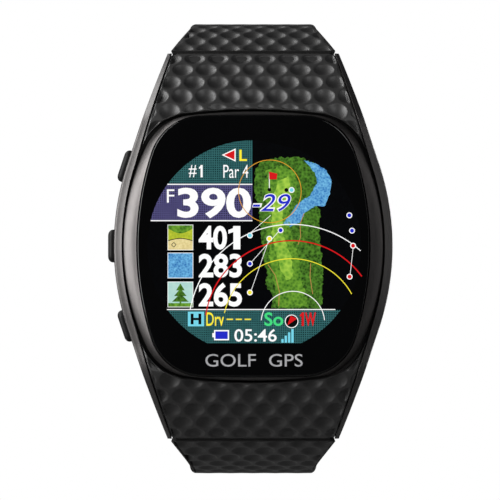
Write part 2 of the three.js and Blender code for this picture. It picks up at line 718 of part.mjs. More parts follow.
const upperEnd = add(
  caseEnd('upper'),
  strapRoot('upper_strap', UPPER_LINE),
  upperStrapEnd(),
  part('buckle_bar', crossCylinder(BUCKLE_BAR, BAR_RADIUS, -10.7, 10.7, 12), STEEL),
  buckleFrame(),
  buckleTongue(),
  keeper('fixed_keeper', FIXED_KEEPER_LOW),
  keeper('free_keeper', FREE_KEEPER_LOW),
);

const lowerEnd = add(caseEnd('lower'), strapRoot('lower_strap', LOWER_LINE), lowerStrapTail());
lowerEnd.rotation.y = Math.PI;

const group = add(new THREE.Group(), watchHead, upperEnd, lowerEnd);

export default group;
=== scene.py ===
import math

import bmesh
import bpy
import numpy as np
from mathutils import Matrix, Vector


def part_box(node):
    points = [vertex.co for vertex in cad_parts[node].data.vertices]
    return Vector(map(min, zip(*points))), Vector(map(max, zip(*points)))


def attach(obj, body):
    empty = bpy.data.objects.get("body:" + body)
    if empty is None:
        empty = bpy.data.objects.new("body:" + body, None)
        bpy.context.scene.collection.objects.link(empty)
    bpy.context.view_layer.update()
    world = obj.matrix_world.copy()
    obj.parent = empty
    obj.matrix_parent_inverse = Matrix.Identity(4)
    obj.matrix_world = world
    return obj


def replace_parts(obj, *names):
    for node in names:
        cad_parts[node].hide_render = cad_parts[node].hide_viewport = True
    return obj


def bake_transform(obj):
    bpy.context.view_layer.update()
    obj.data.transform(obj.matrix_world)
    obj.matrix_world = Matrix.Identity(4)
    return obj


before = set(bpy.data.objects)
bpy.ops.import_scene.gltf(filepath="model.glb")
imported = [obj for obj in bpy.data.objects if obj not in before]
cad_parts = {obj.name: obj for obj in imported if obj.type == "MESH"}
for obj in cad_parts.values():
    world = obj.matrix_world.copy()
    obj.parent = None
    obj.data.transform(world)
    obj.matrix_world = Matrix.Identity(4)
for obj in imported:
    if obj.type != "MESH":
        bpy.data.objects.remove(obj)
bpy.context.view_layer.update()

# ---- Studio ----
# The watch hangs upright as on a wrist, dial to the camera, above a pale floor.
# A tall soft light from the left, a small one high on that side, weak ones from the right and
# one from behind.

mm = 0.001
glass_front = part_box("front_lens")[0].y
scene = bpy.context.scene
scene.view_settings.view_transform = "Standard"

view_distance = 444 * mm
picture_width = 75 * mm
camera_data = bpy.data.cameras.new("camera")
camera_data.sensor_width = 36
camera_data.lens = camera_data.sensor_width * view_distance / picture_width
camera = bpy.data.objects.new("camera", camera_data)
camera.location = (-0.5 * mm, glass_front - view_distance, -0.6 * mm)
camera.rotation_euler = (math.radians(90), 0, 0)
scene.collection.objects.link(camera)
scene.camera = camera


def soft_light(name, place, size, height, power):
    """A softbox of that width and height aimed at the watch."""
    light_data = bpy.data.lights.new(name, "AREA")
    light_data.shape = "RECTANGLE"
    light_data.size = size
    light_data.size_y = height
    light_data.energy = power
    light = bpy.data.objects.new(name, light_data)
    light.location = place
    light.rotation_euler = (-Vector(place)).to_track_quat("-Z", "Y").to_euler()
    scene.collection.objects.link(light)


soft_light("light_left", (-0.55, -0.22, 0.06), 0.24, 0.9, 10.5)
soft_light("light_high_left", (-0.42, 0.22, 0.42), 0.3, 0.3, 2.0)
soft_light("light_front_right", (0.35, -0.6, 0.35), 0.3, 0.3, 1.6)
soft_light("light_right", (0.6, -0.1, 0.1), 0.12, 0.6, 0.35)
soft_light("light_behind", (0.5, 0.5, 0.0), 0.3, 0.4, 3.5)

world = bpy.data.worlds.new("studio")
world.use_nodes = True
scene.world = world


class Field:
    """A node socket that Python sums work on: each operator adds a Math node."""

    def __init__(self, tree, socket=None):
        self.tree = tree
        self.socket = socket

    def node(self, kind, settings=None, links=None, output=0):
        """Adds a node: its settings first, then the values or links of its sockets."""
        made = self.tree.nodes.new(kind)
        for name, value in (settings or {}).items():
            setattr(made, name, value)
        for name, value in (links or {}).items():
            if isinstance(value, Field):
                self.tree.links.new(value.socket, made.inputs[name])
            else:
                made.inputs[name].default_value = value
        return Field(self.tree, made.outputs[output]) if made.outputs else made

    def maths(self, operation, *values):
        return self.node("ShaderNodeMath", {"operation": operation}, dict(enumerate(values)))

    def __add__(self, other):
        return self.maths("ADD", self, other)

    def __radd__(self, other):
        return self.maths("ADD", other, self)

    def __sub__(self, other):
        return self.maths("SUBTRACT", self, other)

    def __rsub__(self, other):
        return self.maths("SUBTRACT", other, self)

    def __mul__(self, other):
        return self.maths("MULTIPLY", self, other)

    def __rmul__(self, other):
        return self.maths("MULTIPLY", other, self)

    def __truediv__(self, other):
        return self.maths("DIVIDE", self, other)

    def above(self, edge):
        return self.maths("GREATER_THAN", self, edge)

    def clamped(self):
        return self.maths("MINIMUM", self.maths("MAXIMUM", self, 0.0), 1.0)

    def mixed(self, first, second):
        """Colour between two others, by this value."""
        mix = self.tree.nodes.new("ShaderNodeMix")
        mix.data_type = "RGBA"
        self.tree.links.new(self.socket, mix.inputs[0])
        for socket, value in ((mix.inputs[6], first), (mix.inputs[7], second)):
            if isinstance(value, Field):
                self.tree.links.new(value.socket, socket)
            else:
                socket.default_value = (*value, 1)
        return Field(self.tree, mix.outputs[2])


sky = Field(world.node_tree)
world.node_tree.nodes.clear()
seen = sky.node("ShaderNodeBackground", links={"Color": (1, 1, 1, 1), "Strength": 1.0})
lit = sky.node("ShaderNodeBackground", links={"Color": (0.9, 0.93, 1, 1), "Strength": 0.06})
straight = sky.node("ShaderNodeLightPath", output="Is Camera Ray")
backdrop = sky.node("ShaderNodeMixShader", links={0: straight, 1: lit, 2: seen})
sky.node("ShaderNodeOutputWorld", links={"Surface": backdrop})


def surface(name, **constants):
    """A new material: gives its tree as a Field and its Principled shader."""
    material = bpy.data.materials.new(name)
    material.use_nodes = True
    shader = material.node_tree.nodes["Principled BSDF"]
    for socket, value in constants.items():
        shader.inputs[socket.replace("_", " ")].default_value = value
    return material, Field(material.node_tree), shader


def drive(shader, socket, value):
    value.tree.links.new(value.socket, shader.inputs[socket])


def bump(field, shader, height, strength, distance):
    drive(shader, "Normal", field.node("ShaderNodeBump", links={
        "Height": height, "Strength": strength, "Distance": distance}))


floor_drop = 150 * mm
floor_half = 700 * mm
floor_mesh = bpy.data.meshes.new("floor")
floor_mesh.from_pydata(
    [(x * floor_half, y * floor_half, -floor_drop) for x, y in ((-1, -1), (1, -1), (1, 1), (-1, 1))],
    [], [(0, 1, 2, 3)])
floor = bpy.data.objects.new("floor", floor_mesh)
scene.collection.objects.link(floor)
floor_paint, paint, floor_shader = surface("floor_paint", Roughness=0.9)
floor_grain = paint.node("ShaderNodeTexNoise", links={"Scale": 3.0})
floor_tone = floor_grain.mixed((0.975, 0.975, 0.975), (1.0, 1.0, 1.0))
drive(floor_shader, "Emission Color", floor_tone)
floor_shader.inputs["Base Color"].default_value = (0.04, 0.04, 0.04, 1)
floor_shader.inputs["Emission Strength"].default_value = 1.0
dim_floor = paint.node("ShaderNodeBsdfDiffuse", links={"Color": (0.16, 0.16, 0.16, 1)})
floor_sees = paint.node("ShaderNodeLightPath", output="Is Camera Ray")
lit_floor = Field(paint.tree, floor_shader.outputs[0])
floor_mix = paint.node("ShaderNodeMixShader", links={0: floor_sees, 1: dim_floor, 2: lit_floor})
paint.tree.links.new(floor_mix.socket, paint.tree.nodes["Material Output"].inputs["Surface"])
floor_mesh.materials.append(floor_paint)


# ---- Case middle ----
# Cast gunmetal case: a side rail each side that runs on as two tapering horns, a tub between
# them for the works, and a strip between each pair of horns that an end plate is screwed to.

rail_half_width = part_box("mid_case")[1].x / mm
rail_radius = 38.5
rail_angle = math.radians(18.5)
rail_top_width = 1.3
horn_top_width = 0.6
horn_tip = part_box("mid_case")[1].z / mm
case_front = 1.8
case_rear = 11.0
body_half_height = 20.4
rail_straight_from = rail_radius * math.sin(rail_angle)
head_radius = 37.0
head_centre_depth = 2.2 + head_radius * math.cos(math.radians(37.5))
head_centre_height = 20.5 - head_radius * math.sin(math.radians(37.5))
bar_depth = 14.04
bar_height = 27.12
knuckle_radius = 2.6


def depth_y(depth):
    """Distance behind the lens front, in millimetres, as a place along Y."""
    return glass_front + depth * mm


def spot(x, depth, z):
    return Vector((x * mm, depth_y(depth), z * mm))


def rail_x(z):
    """Half-width of the case at a height."""
    if abs(z) <= rail_straight_from:
        return rail_half_width - rail_radius + math.sqrt(rail_radius ** 2 - z * z)
    start = rail_half_width - rail_radius * (1 - math.cos(rail_angle))
    return start - (abs(z) - rail_straight_from) * math.tan(rail_angle)


def rail_width(z):
    past = max(0.0, abs(z) - 12) / (horn_tip - 12)
    return rail_top_width + (horn_top_width - rail_top_width) * past


def head_depth(z):
    """Depth of the outer line of the head at a height past the bezel."""
    return head_centre_depth - math.sqrt(head_radius ** 2 - (abs(z) - head_centre_height) ** 2)


def front_depth(z):
    """Depth of the case's front edge: level beside the bezel, then down along the head."""
    bend_from, bend_to = 14.6, 20.6
    if abs(z) <= bend_from:
        return case_front - 0.25
    if abs(z) >= bend_to:
        return head_depth(z)
    t = (abs(z) - bend_from) / (bend_to - bend_from)
    steep = (head_depth(bend_to + 0.01) - head_depth(bend_to)) / 0.01 * (bend_to - bend_from)
    end = head_depth(bend_to)
    start = case_front - 0.25
    return (2 * t ** 3 - 3 * t * t + 1) * start + (3 * t * t - 2 * t ** 3) * end + (t ** 3 - t * t) * steep


def rear_depth(z):
    """Depth of the rail's wrist side: level behind the body, then round the spring bar's eye."""
    z = abs(z)
    eye = bar_height - 1.82
    if z <= body_half_height:
        return case_rear
    if z < eye:
        return case_rear + (bar_depth + 1.82 - case_rear) * (z - body_half_height) / (eye - body_half_height)
    return bar_depth + math.sqrt(max(0.0, knuckle_radius ** 2 - (z - bar_height) ** 2))


def shape(name, vertices, faces, material, smooth=40):
    """A mesh object with its faces turned outwards and soft normals across shallow edges."""
    mesh = bpy.data.meshes.new(name)
    mesh.from_pydata([tuple(v) for v in vertices], [], faces)
    work = bmesh.new()
    work.from_mesh(mesh)
    bmesh.ops.remove_doubles(work, verts=work.verts, dist=1e-7)
    bmesh.ops.recalc_face_normals(work, faces=work.faces)
    work.to_mesh(mesh)
    work.free()
    if material:
        mesh.materials.append(material)
    mesh.shade_smooth()
    mesh.set_sharp_from_angle(angle=math.radians(smooth))
    piece = bpy.data.objects.new(name, mesh)
    scene.collection.objects.link(piece)
    return piece


def loft(name, rings, material, loop=False, smooth=40):
    """Skins a row of closed rings of points; the ends are capped unless the row closes on itself."""
    count = len(rings[0])
    vertices = [point for ring in rings for point in ring]
    faces = []
    for i in range(len(rings) if loop else len(rings) - 1):
        here, there = i * count, (i + 1) % len(rings) * count
        for j in range(count):
            k = (j + 1) % count
            faces.append((here + j, here + k, there + k, there + j))
    if not loop:
        faces.append(tuple(range(count)))
        faces.append(tuple(range(len(vertices) - 1, len(vertices) - 1 - count, -1)))
    return shape(name, vertices, faces, material, smooth)


def made_plain(piece):
    """Applies a piece's modifiers and gives the piece back with a plain mesh."""
    scene_graph = bpy.context.evaluated_depsgraph_get()
    mesh = bpy.data.meshes.new_from_object(piece.evaluated_get(scene_graph))
    piece.modifiers.clear()
    piece.data = mesh
    return piece


def carve(piece, tool, operation="DIFFERENCE"):
    """Cuts a piece with another, which is then thrown away."""
    cutter = piece.modifiers.new("cut", "BOOLEAN")
    cutter.operation = operation
    cutter.object = tool
    cutter.solver = "EXACT"
    made_plain(piece)
    bpy.data.objects.remove(tool)
    return piece


def gunmetal(name, tone, rough, streaks):
    """Satin gunmetal: fine brushing, faint blotches of wear and a lighter cast."""
    material, field, shader = surface(name, Metallic=0.9)
    place = field.node("ShaderNodeTexCoord", output="Object")
    stretched = field.node("ShaderNodeMapping", links={"Vector": place, "Scale": streaks})
    brushing = field.node("ShaderNodeTexNoise", links={"Vector": stretched, "Scale": 1.0, "Detail": 6.0})
    blotches = field.node("ShaderNodeTexNoise", links={"Vector": place, "Scale": 180.0, "Detail": 3.0})
    light = tuple(min(1, c * 1.22) for c in tone)
    drive(shader, "Base Color", (brushing * 0.6 + blotches * 0.4).mixed(tone, light))
    drive(shader, "Roughness", rough + brushing * 0.14 + blotches * 0.08 - 0.1)
    bump(field, shader, brushing, 0.12, 0.02 * mm)
    return material


case_finish = gunmetal("case_gunmetal", (0.06, 0.057, 0.056), 0.38, (9000, 1500, 700))


def rail_ring(z, side):
    """Section of a side rail: a slanting front face, a rounded edge, then the side down to the wrist."""
    out, top, rear = rail_x(z), front_depth(z), rear_depth(z)
    wide = rail_width(z)
    tall = rear - top
    inner = out - wide - 0.04
    drop = min(0.8 * wide, 0.2 * tall)
    points = [(inner, top + 0.7), (inner, top + 0.1), (inner + 0.03, top + 0.03), (inner + 0.1, top)]
    points += [(inner + 0.1 + (wide - 0.24) * t, top + drop * t * (0.85 + 0.15 * t))
               for t in (0.25, 0.5, 0.75, 1)]
    edge, edge_depth = points[-1]
    for i in range(1, 6):
        turn = math.radians(90 * i / 5)
        points.append((edge + (out - edge) * math.sin(turn),
                       edge_depth + 0.3 * (1 - math.cos(turn)) + 0.1 * i / 5))
    points += [(out, edge_depth + (rear - edge_depth) * t) for t in (0.3, 0.5, 0.7)]
    for i in range(0, 6):
        turn = math.radians(90 * i / 5)
        points.append((out - 0.6 * wide * (1 - math.cos(turn)), rear - 0.7 * (1 - math.sin(turn))))
    points += [(inner, rear)]
    return [spot(side * x, depth, z) for x, depth in points]


rail_heights = list(np.linspace(-horn_tip, horn_tip, 181))
rails = {}
for side, word in ((-1, "left"), (1, "right")):
    rail = loft(f"case_rail_{word}", [rail_ring(z, side) for z in rail_heights], case_finish)
    rails[word] = rail

button_tilts = {"upper": math.radians(18.3), "middle": 0.0, "lower": math.radians(-18.3)}
button_depth = 7.3
button_length = 5.0
button_width = 2.2


def rail_frame(tilt):
    """Turns (out from the rail arc's centre, along the rail, depth) into a place on the left side."""
    centre = rail_half_width - rail_radius

    def place(out, along, depth):
        x = -out * math.cos(tilt) + along * math.sin(tilt)
        z = out * math.sin(tilt) + along * math.cos(tilt)
        return spot(x - centre, depth, z)

    return place


def capsule(length, width, steps=14):
    """Upright capsule outline as (along, across) points."""
    radius, reach = width / 2, length / 2 - width / 2
    ends = [(reach, 0), (-reach, 180)]
    points = []
    for middle, start in ends:
        for i in range(steps + 1):
            turn = math.radians(start + 180 * i / steps)
            points.append((middle + radius * math.sin(turn), radius * math.cos(turn)))
    return points


for tilt in button_tilts.values():
    on_rail = rail_frame(tilt)
    pocket = loft("pocket", [
        [on_rail(out, a, button_depth + c) for a, c in capsule(button_length + 0.4, button_width + 0.4)]
        for out in (rail_radius - 1.2, rail_radius + 2)], None)
    carve(rails["left"], pocket)
for word, rail in rails.items():
    rail.data.shade_smooth()
    rail.data.set_sharp_from_angle(angle=math.radians(40))
    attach(rail, "case")
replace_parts(rails["left"], "mid_case")


# Cushion outlines of bezel, lens and back: four large arcs joined by tangent corner arcs
def cushion(half_width, half_height, side_radius, end_radius, corner_radius, fine=10):
    side_centre, end_centre = half_width - side_radius, half_height - end_radius
    span = math.hypot(side_centre, end_centre)
    to_side, to_end = side_radius - corner_radius, end_radius - corner_radius
    along = (to_side ** 2 - to_end ** 2 + span ** 2) / (2 * span)
    across = math.sqrt(to_side ** 2 - along ** 2)
    corner_x = side_centre - (along * side_centre + across * end_centre) / span
    corner_z = (along * end_centre - across * side_centre) / span
    side_turn = math.atan2(corner_z, corner_x - side_centre)
    end_turn = math.atan2(corner_x, corner_z - end_centre)
    quarter = []
    arcs = (
        (side_centre, 0, side_radius, 0, side_turn, fine),
        (corner_x, corner_z, corner_radius, side_turn, math.pi / 2 - end_turn, fine),
        (0, end_centre, end_radius, math.pi / 2 - end_turn, math.pi / 2, fine // 2),
    )
    for cx, cz, radius, start, stop, steps in arcs:
        for i in range(steps):
            turn = start + (stop - start) * i / steps
            quarter.append((cx + radius * math.cos(turn), cz + radius * math.sin(turn)))
    top = [(0.0, half_height)]
    right_down = [(x, -z) for x, z in quarter[1:]][::-1]
    right = quarter
    half = right + top
    left = [(-x, z) for x, z in quarter][::-1]
    left_down = [(-x, -z) for x, z in quarter[1:]]
    return half + left + left_down + [(0.0, -half_height)] + right_down


LENS = dict(half_width=17.4, half_height=19.6, side_radius=45, end_radius=300, corner_radius=8)
BEZEL = dict(half_width=19.65, half_height=20.25, side_radius=34, end_radius=80, corner_radius=8)
CAVITY = dict(half_width=17.8, half_height=18.2, side_radius=35.2, end_radius=150, corner_radius=10)
BACK = dict(half_width=19.9, half_height=20.2, side_radius=37.3, end_radius=150, corner_radius=4)


def inset(outline, by):
    return {name: size - by for name, size in outline.items()}


def flat_ring(outline, depth):
    return [spot(x, depth, z) for x, z in outline]


tub_outer = [(math.copysign(min(abs(x), rail_x(z) - 1), x), z) for x, z in
             cushion(half_width=20.0, half_height=body_half_height - 0.05, side_radius=37.4,
                     end_radius=2000, corner_radius=2)]
tub_inner = cushion(**CAVITY)
tub = loft("case_tub", [
    flat_ring(tub_outer, 3.72), flat_ring(tub_outer, case_rear), flat_ring(tub_inner, case_rear),
    flat_ring(tub_inner, 3.72)], case_finish, loop=True)
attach(tub, "case")

strip_line = [(11.0, 19.6), (11.0, 20.4), (13.75, 23.5), (12.8, 24.35), (10.03, 21.26), (9.4, 19.6)]
for end, word in ((1, "upper"), (-1, "lower")):
    reach = [rail_x(z) - rail_width(z) for _, z in strip_line]
    strip = loft(f"lug_strip_{word}", [
        [spot(side * r, depth, end * z) for (depth, z), r in zip(strip_line, reach)] for side in (-1, 1)],
        case_finish)
    edge = strip.modifiers.new("edge", "BEVEL")
    edge.width = 0.15 * mm
    edge.segments = 2
    made_plain(strip)
    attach(strip, "case")


# ---- Bezel ----
# Machined gunmetal ring round the lens: wide and domed at the sides, thin at 12 and 6 o'clock.

bezel_finish = gunmetal("bezel_gunmetal", (0.062, 0.058, 0.057), 0.4, (2500, 1500, 600))
bezel_inner = cushion(**inset(LENS, -0.12), fine=24)
bezel_outer = cushion(**BEZEL, fine=24)
bezel_slope = [(t, 0.4 + 2.1 * (0.364 * t + 0.268 * t * t)) for t in (0.08, 0.2, 0.35, 0.5, 0.65, 0.8, 0.9)]
bezel_section = [(0.0, 2.05), (0.0, 0.62), (0.01, 0.47), (0.04, 0.42)] + bezel_slope
bezel_section += [(0.96, 1.68), (0.99, 1.82), (1.0, 1.95), (1.0, 2.1)]
bezel = loft("bezel_ring", [
    [spot(ix + (ox - ix) * t, depth, iz + (oz - iz) * t) for t, depth in bezel_section]
    for (ix, iz), (ox, oz) in zip(bezel_inner, bezel_outer)], bezel_finish, loop=True, smooth=60)
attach(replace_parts(bezel, "bezel"), "case")


# ---- Lens ----
# Flat mineral glass with a rounded edge, printed black behind, so that it looks black all over
# where the display is dark.

lens_finish, field, shader = surface("black_glass", Metallic=0.0, Specular_IOR_Level=0.3)
place = field.node("ShaderNodeTexCoord", output="Object")
smear = field.node("ShaderNodeTexNoise", links={"Vector": place, "Scale": 90.0, "Detail": 4.0})
drive(shader, "Base Color", smear.mixed((0.0004, 0.0004, 0.0005), (0.001, 0.001, 0.0012)))
drive(shader, "Roughness", smear * 0.05 + 0.03)
edge_round = 0.22
lens_rings = [flat_ring(cushion(**inset(LENS, 0.05), fine=24), 1.5)]
for i in range(7):
    turn = math.radians(90 * i / 6)
    lens_rings.append(flat_ring(
        cushion(**inset(LENS, edge_round * (1 - math.cos(turn))), fine=24), edge_round * (1 - math.sin(turn))))
lens = loft("lens_glass", lens_rings, lens_finish, smooth=60)
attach(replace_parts(lens, "front_lens"), "case")


# ---- Screen picture ----
# What the display shows behind the glass: distances in figures at the left, a plan of the hole
# with range arcs at the right, and status bands. Drawn as thin lit layers on the black glass.

screen_x, screen_z, screen_radius, screen_low = 0.13, -0.15, 16.05, -14.6
band_right = -0.15
layer_step = 0.004


def linear(*shade):
    """A screen colour from 0 to 255 as linear light."""
    return tuple((c / 255 / 12.92) if c <= 10 else ((c / 255 + 0.055) / 1.055) ** 2.4 for c in shade)


def screen_paint(name, first, second=None, grain=0.0, strength=1.0, grid=0.0, pitch=0.16):
    """Lit picture colour: two tones mingled by a grain of that size, with a fine raster over them."""
    material, field, shader = surface(name, Roughness=0.25, Emission_Strength=strength)
    place = field.node("ShaderNodeTexCoord", output="Object")
    shades = first
    if second:
        spots = field.node("ShaderNodeTexVoronoi", links={"Vector": place, "Scale": 1 / (grain * mm)})
        clumps = field.node("ShaderNodeTexNoise", links={
            "Vector": place, "Scale": 0.4 / (grain * mm), "Detail": 5.0})
        shades = (spots * 0.9 + clumps * 1.1 - 0.5).clamped().mixed(second, first)
    split = place.node("ShaderNodeSeparateXYZ", links={0: place})
    across = Field(field.tree, split.socket.node.outputs["X"]) / (pitch * mm)
    upward = Field(field.tree, split.socket.node.outputs["Z"]) / (pitch * mm)
    raster = across.maths("FRACT", across).above(0.5) * upward.maths("FRACT", upward).above(0.5)
    drive(shader, "Emission Color", (raster * grid).mixed(shades, (0.0, 0.0, 0.0)))
    shader.inputs["Base Color"].default_value = (0, 0, 0, 1)
    shader.inputs["Specular IOR Level"].default_value = 0.2
    return material


def flat(name, polygons, material, layer):
    """Flat polygons given as (x, z) points, facing the front, on a numbered layer above the glass."""
    depth = -0.006 - layer_step * layer
    vertices, faces = [], []
    for polygon in polygons:
        start = len(vertices)
        vertices += [spot(x, depth, z) for x, z in polygon]
        faces.append(tuple(range(start, len(vertices))))
    mesh = bpy.data.meshes.new(name)
    mesh.from_pydata([tuple(v) for v in vertices], [], faces)
    work = bmesh.new()
    work.from_mesh(mesh)
    work.faces.ensure_lookup_table()
    work.normal_update()
    bmesh.ops.reverse_faces(work, faces=[f for f in work.faces if f.normal.y > 0])
    bmesh.ops.triangulate(work, faces=work.faces)
    work.to_mesh(mesh)
    work.free()
    mesh.materials.append(material)
    piece = bpy.data.objects.new(name, mesh)
    scene.collection.objects.link(piece)
    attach(piece, "case")
    return piece


def rectangle(left, low, right, high):
    return [(left, low), (right, low), (right, high), (left, high)]


def disc(x, z, radius, count=20):
    return [(x + radius * math.cos(math.tau * i / count), z + radius * math.sin(math.tau * i / count))
            for i in range(count)]


def stroke(points, width):
    """Quads that follow a line of points."""
    quads = []
    for (ax, az), (bx, bz) in zip(points, points[1:]):
        span = math.hypot(bx - ax, bz - az) or 1
        nx, nz = -(bz - az) / span * width / 2, (bx - ax) / span * width / 2
        quads.append([(ax + nx, az + nz), (bx + nx, bz + nz), (bx - nx, bz - nz), (ax - nx, az - nz)])
    return quads


def arc_points(x, z, radius, start, stop, count=48):
    return [(x + radius * math.cos(math.radians(start + (stop - start) * i / count)),
             z + radius * math.sin(math.radians(start + (stop - start) * i / count))) for i in range(count + 1)]


def band(low, high, right=None):
    """Part of the round screen between two heights, as far right as given."""
    heights = [low + (high - low) * i / 24 for i in range(25)]
    reach = [math.sqrt(max(0, screen_radius ** 2 - (z - screen_z) ** 2)) for z in heights]
    left_edge = [(screen_x - r, z) for r, z in zip(reach, heights)]
    if right is None:
        right_edge = [(screen_x + r, z) for r, z in zip(reach, heights)]
    else:
        right_edge = [(max(right, screen_x - r), z) for r, z in zip(reach, heights)]
    return left_edge + right_edge[::-1]


def figures(text, left, low, right, high, bold=0.0, slant=0.0):
    """Plain figures or letters as flat triangles filling a box, given as (x, z) polygons."""
    curve = bpy.data.curves.new("figures", "FONT")
    curve.body = text
    curve.size = 1
    curve.offset = bold
    curve.shear = slant
    curve.resolution_u = 4
    writing = bpy.data.objects.new("figures", curve)
    scene.collection.objects.link(writing)
    scene_graph = bpy.context.evaluated_depsgraph_get()
    mesh = bpy.data.meshes.new_from_object(writing.evaluated_get(scene_graph))
    places = np.array([v.co for v in mesh.vertices])
    low_corner, high_corner = places.min(0), places.max(0)
    scale_x = (right - left) / (high_corner[0] - low_corner[0])
    scale_z = (high - low) / (high_corner[1] - low_corner[1])
    polygons = [[(left + (places[i][0] - low_corner[0]) * scale_x,
                  low + (places[i][1] - low_corner[1]) * scale_z)
                 for i in face.vertices] for face in mesh.polygons]
    bpy.data.objects.remove(writing)
    bpy.data.meshes.remove(mesh)
    bpy.data.curves.remove(curve)
    return polygons


def figure_one(left, low, right, high):
    """A plain 1 with a flag."""
    wide, tall = right - left, high - low
    stem = left + wide * 0.42
    return [rectangle(stem, low, right, high),
            [(stem, high), (stem - wide * 0.05, high - tall * 0.1), (left, high - tall * 0.17),
             (left, high - tall * 0.33), (stem, high - tall * 0.26)]]


dark_screen = screen_paint("screen_dark", linear(3, 4, 6), linear(1, 1, 2), 0.3)
teal = screen_paint("screen_teal", linear(54, 106, 108), linear(44, 94, 96), 0.5, grid=1.0, pitch=0.33)
slate = screen_paint("screen_slate", linear(90, 86, 134), linear(78, 74, 122), 0.5, grid=1.0, pitch=0.33)
white = screen_paint("screen_white", linear(255, 255, 255), strength=1.0, grid=0.03)
yellow = screen_paint("screen_yellow", linear(250, 235, 60), grid=0.06)
red = screen_paint("screen_red", linear(215, 25, 30), grid=0.06)
orange = screen_paint("screen_orange", linear(225, 160, 50), grid=0.1)
blue = screen_paint("screen_blue", linear(35, 45, 200), grid=0.06)
green = screen_paint("screen_green", linear(70, 220, 130), grid=0.06)
cyan = screen_paint("screen_cyan", linear(120, 215, 235), grid=0.06)
black = screen_paint("screen_black", linear(6, 8, 10), grid=0.1)
trees = screen_paint("screen_trees", linear(92, 148, 48), linear(8, 34, 10), 0.36, grid=0.2)
rough_grass = screen_paint("screen_rough", linear(124, 178, 56), linear(38, 92, 26), 0.45, grid=0.15)
fairway = screen_paint("screen_fairway", linear(180, 220, 80), linear(85, 150, 42), 0.6, grid=0.1)
water = screen_paint("screen_water", linear(125, 200, 240), linear(35, 105, 180), 0.3, grid=0.12)
sand = screen_paint("screen_sand", linear(240, 225, 165), linear(215, 195, 130), 0.3)
lawn = screen_paint("screen_lawn", linear(200, 205, 60), linear(150, 175, 40), 0.4)
sky_tone = screen_paint("screen_sky", linear(190, 225, 215), linear(165, 210, 205), 0.8)

flat("screen_ground", [band(screen_low, screen_z + screen_radius - 0.01)], dark_screen, 0)
flat("screen_top_band", [band(9.35, screen_z + screen_radius - 0.05, band_right)], teal, 1)
flat("screen_low_band", [band(screen_low, -9.6)], teal, 1)
flat("screen_distance_band", [band(3.88, 9.15, band_right)], slate, 1)


def wavy(points, wobble, seed):
    """Closed outline with a clumpy edge, like treetops seen from above."""
    random = np.random.default_rng(seed)
    outline = []
    for (ax, az), (bx, bz) in zip(points, points[1:] + points[:1]):
        steps = max(2, int(math.hypot(bx - ax, bz - az) / 0.28))
        for i in range(steps):
            push = random.uniform(-wobble, wobble, 2)
            outline.append((ax + (bx - ax) * i / steps + push[0], az + (bz - az) * i / steps + push[1]))
    return outline


tree_line = [(0.3, 11.2), (0.9, 12.5), (3.9, 13.3), (7.2, 13.3), (9.0, 12.4), (9.7, 10.4), (9.2, 8.4),
             (7.6, 6.6), (7.3, 5.2), (9.2, 6.1), (10.1, 5.6), (9.9, 2.0), (10.1, 0.2), (10.3, -2.2),
             (10.5, -5.4), (10.2, -9.4), (2.8, -9.4), (2.9, -7.4), (1.8, -5.6), (2.1, -4.4),
             (1.5, -1.6), (1.1, 2.4), (0.8, 5.6), (0.1, 8.2)]
water_line = [(7.6, 12.9), (9.3, 12.4), (11.0, 11.3), (11.7, 9.9), (11.5, 7.9), (10.7, 5.9), (9.2, 6.0),
              (7.8, 5.0), (7.0, 3.6), (5.6, 2.9), (4.4, 3.4), (5.5, 4.7), (6.3, 6.1), (8.5, 7.6),
              (9.6, 9.6), (9.2, 11.0)]
rough_line = [(2.0, 11.4), (4.4, 12.0), (6.4, 11.0), (6.4, 8.0), (5.2, 5.2), (5.6, 2.0), (6.6, -1.0),
              (7.2, -4.6), (8.2, -9.0), (3.6, -9.3), (3.2, -6.0), (2.6, -2.6), (2.1, 1.6), (2.2, 5.4),
              (1.7, 8.4)]
fairway_line = [(3.6, 9.8), (5.2, 10.4), (5.7, 8.4), (4.3, 5.2), (4.4, 2.0), (5.7, -1.6), (6.0, -4.6),
                (5.0, -5.2), (4.2, -3.8), (3.4, -1.2), (2.8, 1.8), (2.7, 5.2), (3.1, 7.6)]
flat("screen_map_trees", [wavy(tree_line, 0.16, 1)], trees, 1)
flat("screen_map_water", [wavy(water_line, 0.08, 2)], water, 2)
flat("screen_map_rough", [wavy(rough_line, 0.22, 3)], rough_grass, 2)
flat("screen_map_fairway", [wavy(fairway_line, 0.12, 4)], fairway, 3)

path_tone = screen_paint("screen_path", linear(190, 140, 80), grid=0.1)
flat("screen_map_paths", stroke([(7.6, 4.9), (7.0, 3.2), (7.1, 1.4), (6.7, 0.2)], 0.1)
     + stroke([(2.2, -2.8), (3.3, -4.4), (3.9, -6.8), (3.8, -9.0)], 0.1)
     + stroke([(8.6, -2.6), (8.5, -4.6), (8.9, -7.2)], 0.1), path_tone, 4)

